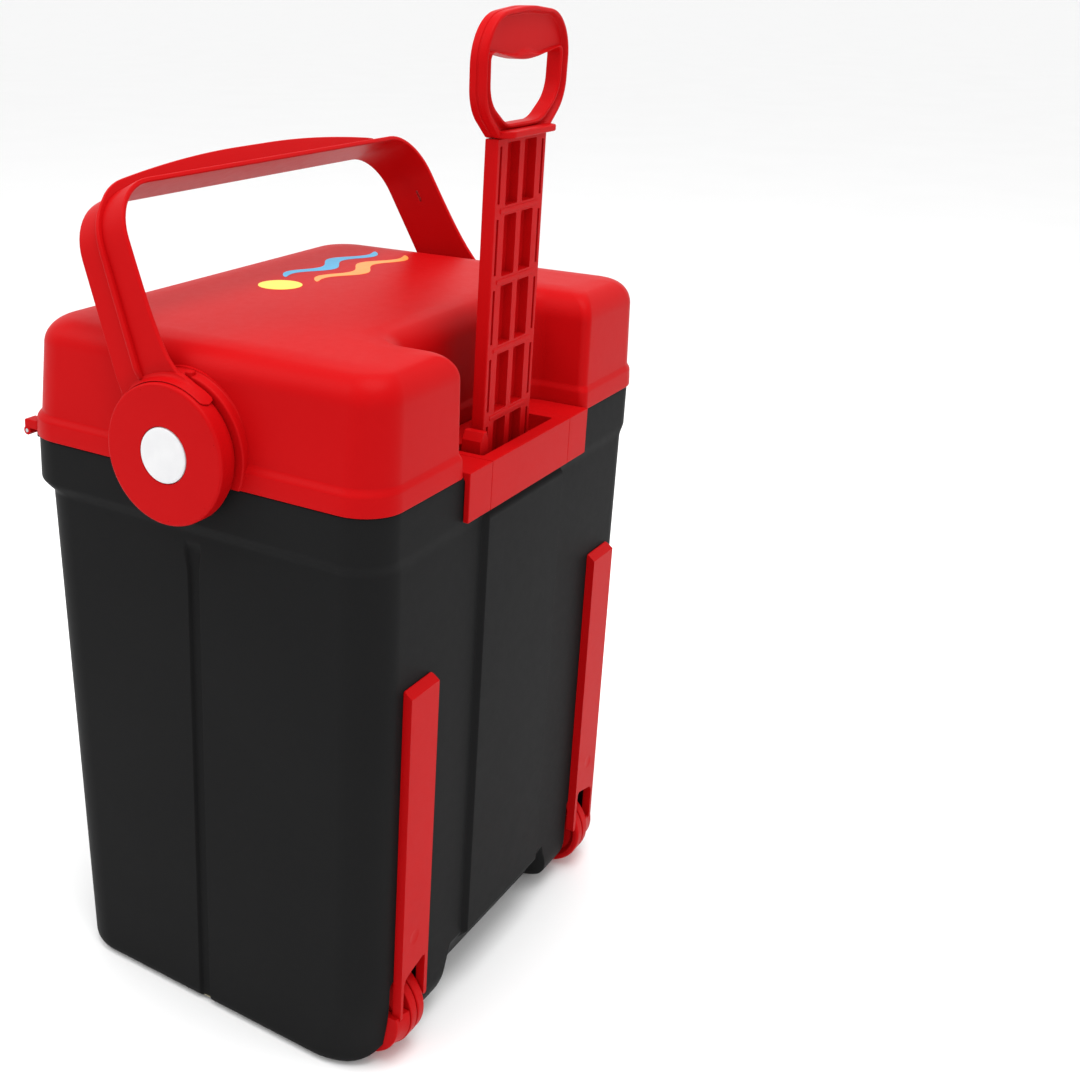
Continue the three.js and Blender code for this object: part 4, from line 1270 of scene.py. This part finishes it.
def build_guard(name, side):
    """A long cover plate that forks over the wheel, with a shallow round dimple above the fork."""
    x0, x1 = guard_low.x, GUARD_X1
    top = guard_high.z
    outline = rounded_outline(
        [
            (x0, 41, 1.5),
            (x0 + 4.2, 41, 1.5),
            (x0 + 4.2, GUARD_NOTCH_Z + 3.5, 3),
            (x1 - GUARD_LEG, GUARD_NOTCH_Z - 3.5, 7),
            (x1 - GUARD_LEG, GUARD_LEG_Z, 0.5),
            (x1, GUARD_LEG_Z, 0.5),
            (x1, top, 1.6),
            (x0, top, 1.6),
        ],
        6,
    )
    guard = new_piece("wheel_cover_" + name, *slab(outline, "y", GUARD_Y0, guard_high.y), RED)
    wedge = [(GUARD_Y0 - 2, top + 2), (guard_high.y + 2, top - 6), (guard_high.y + 2, top + 2)]
    slope = new_piece("slope", *slab(wedge, "x", x0 - 2, x1 + 2), RED)
    y0, y1 = GUARD_Y0, guard_high.y
    round_r = (y1 - y0) / 2
    round_z = GUARD_LEG_Z + round_r
    foot = [(y0 - 1, round_z)]
    foot += arc((y0 + y1) / 2, round_z, round_r, 180, 360, 12)
    foot += [(y1 + 1, round_z), (y1 + 1, GUARD_LEG_Z - 5), (y0 - 1, GUARD_LEG_Z - 5)]
    foot_cut = new_piece("foot_cut", *slab(foot, "x", x1 - GUARD_LEG - 4, x1 + 4), RED)
    carve(guard, [slope, foot_cut])
    bevel(guard, 1.0, 3)
    middle = (x0 + x1) / 2 + 2
    dimple_z = GUARD_NOTCH_Z + 26
    rings = []
    for rise, radius in ((1, 6.6), (0, 6.2), (-0.35, 5.2), (-0.45, 1)):
        circle = arc(0, 0, radius, 0, 360 - 11.25, 31)
        rings.append([(middle + a, y1 + rise, dimple_z + b) for a, b in circle])
    dimple = new_piece("dimple", *loft(rings), RED)
    carve(guard, [dimple])
    finished(placed_on(side, guard), "root", "red_plastic", "wheel_guard_" + name)


def build_cheek(name, side):
    """The thin rim that runs on from the guard's outer leg, curved round the wheel beside its tread."""
    inner, outer = 27.2, 29.6
    crest = 31.7  # beside the tread
    x0, x1 = outer_wheel_low.x + 8.8, POCKET_X1 - 0.4
    wall_x = outer_wheel_high.x + 1.2
    profile = [(x0 + 0.3, inner), (x0, inner + 0.4), (x0, crest - 0.5), (x0 + 0.3, crest)]
    profile += [(x0 + 0.9, crest - 0.1)]
    profile += [(wall_x - 1.8, outer + 0.1), (x1 - 1, outer), (x1 - 0.3, outer - 0.3), (x1, outer - 1)]
    profile += [(x1, 14), (wall_x, 14), (wall_x, inner)]
    placed = [(side * x, r) for x, r in profile]
    ring = new_piece("wheel_cheek_" + name, *turned(placed, WHEEL_Y, WHEEL_Z, 128), RED, 24)
    keep = block(
        "keep",
        (min(side * x0, side * x1) - 5, WHEEL_Y - 14, -5),
        (max(side * x0, side * x1) + 5, guard_high.y + 5, GUARD_LEG_Z + 4),
        RED,
    )
    carve(ring, [keep], 24, "INTERSECT")
    finished(ring, "root", "red_plastic")


for name, side in SIDES:
    build_wheel(name, side)
    build_guard(name, side)
    build_cheek(name, side)


# ---------- finishes of the CAD nodes that stay ----------
def paint(node, material):
    mesh = frame["nodes"][node].data
    mesh.materials.clear()
    mesh.materials.append(material)


for node in ("body_foam", "lid_foam"):
    paint(node, FOAM)
paint("shaft_guide", BLACK)
for name in ("right", "left"):
    for node in ("pivot_screw_", "hinge_pin_", "axle_"):
        paint(node + name, STEEL)


# ---------- stage ----------
def pale_floor():
    material = bpy.data.materials.new("floor_look")
    material.use_nodes = True
    make = node_maker(material)
    shader = material.node_tree.nodes["Principled BSDF"]
    place = make("ShaderNodeTexCoord").outputs["Object"]
    noise = make("ShaderNodeTexNoise", {"Vector": place, "Scale": 3.0, "Detail": 3.0})
    tone = make("ShaderNodeValToRGB", {"Fac": noise.outputs["Fac"]})
    tone.color_ramp.elements[0].color = (0.92, 0.92, 0.92, 1)
    tone.color_ramp.elements[1].color = (0.95, 0.95, 0.95, 1)
    material.node_tree.links.new(tone.outputs["Color"], shader.inputs["Base Color"])
    shader.inputs["Roughness"].default_value = 0.8
    shader.inputs["Specular IOR Level"].default_value = 0.2
    mesh = bpy.data.meshes.new("floor")
    reach = 300  # metres, so that its edge is out of sight
    corners = [(-reach, -reach, 0), (reach, -reach, 0), (reach, reach, 0), (-reach, reach, 0)]
    mesh.from_pydata(corners, [], [(0, 1, 2, 3)])
    mesh.materials.append(material)
    floor = bpy.data.objects.new("floor", mesh)
    bpy.context.scene.collection.objects.link(floor)


def area_light(name, place, target, size, power, colour=(1, 1, 1)):
    data = bpy.data.lights.new(name, "AREA")
    data.shape = "RECTANGLE"
    data.size, data.size_y = size
    data.energy = power
    data.color = colour
    light = bpy.data.objects.new(name, data)
    light.location = place
    aim = Vector(target) - Vector(place)
    light.rotation_euler = aim.to_track_quat("-Z", "Y").to_euler()
    bpy.context.scene.collection.objects.link(light)


def build_stage():
    pale_floor()
    world = bpy.data.worlds.new("studio")
    bpy.context.scene.world = world
    world.use_nodes = True
    background = world.node_tree.nodes["Background"]
    background.inputs["Color"].default_value = (1, 1, 1, 1)
    background.inputs["Strength"].default_value = 1.0
    bpy.context.scene.view_settings.view_transform = "Standard"
    middle = (0, 0, 0.35)
    area_light("key", (1.2, -1.6, 2.3), middle, (1.6, 1.6), 26)
    area_light("top", (0.1, 0.4, 2.4), middle, (1.4, 1.4), 36)
    area_light("fill", (1.6, 2.0, 1.0), middle, (1.8, 1.4), 5)


def build_camera():
    """From the back right, a little above the lid."""
    data = bpy.data.cameras.new("camera")
    data.sensor_width = 36
    data.lens = 47.39
    data.shift_x = 0.2571
    data.shift_y = -0.0899
    camera = bpy.data.objects.new("camera", data)
    camera.location = (0.87402, 0.56311, 0.73687)
    forward = Vector((-0.76387, -0.56328, -0.31499))
    camera.rotation_euler = forward.to_track_quat("-Z", "Y").to_euler()
    bpy.context.scene.collection.objects.link(camera)
    bpy.context.scene.camera = camera


build_stage()
build_camera()
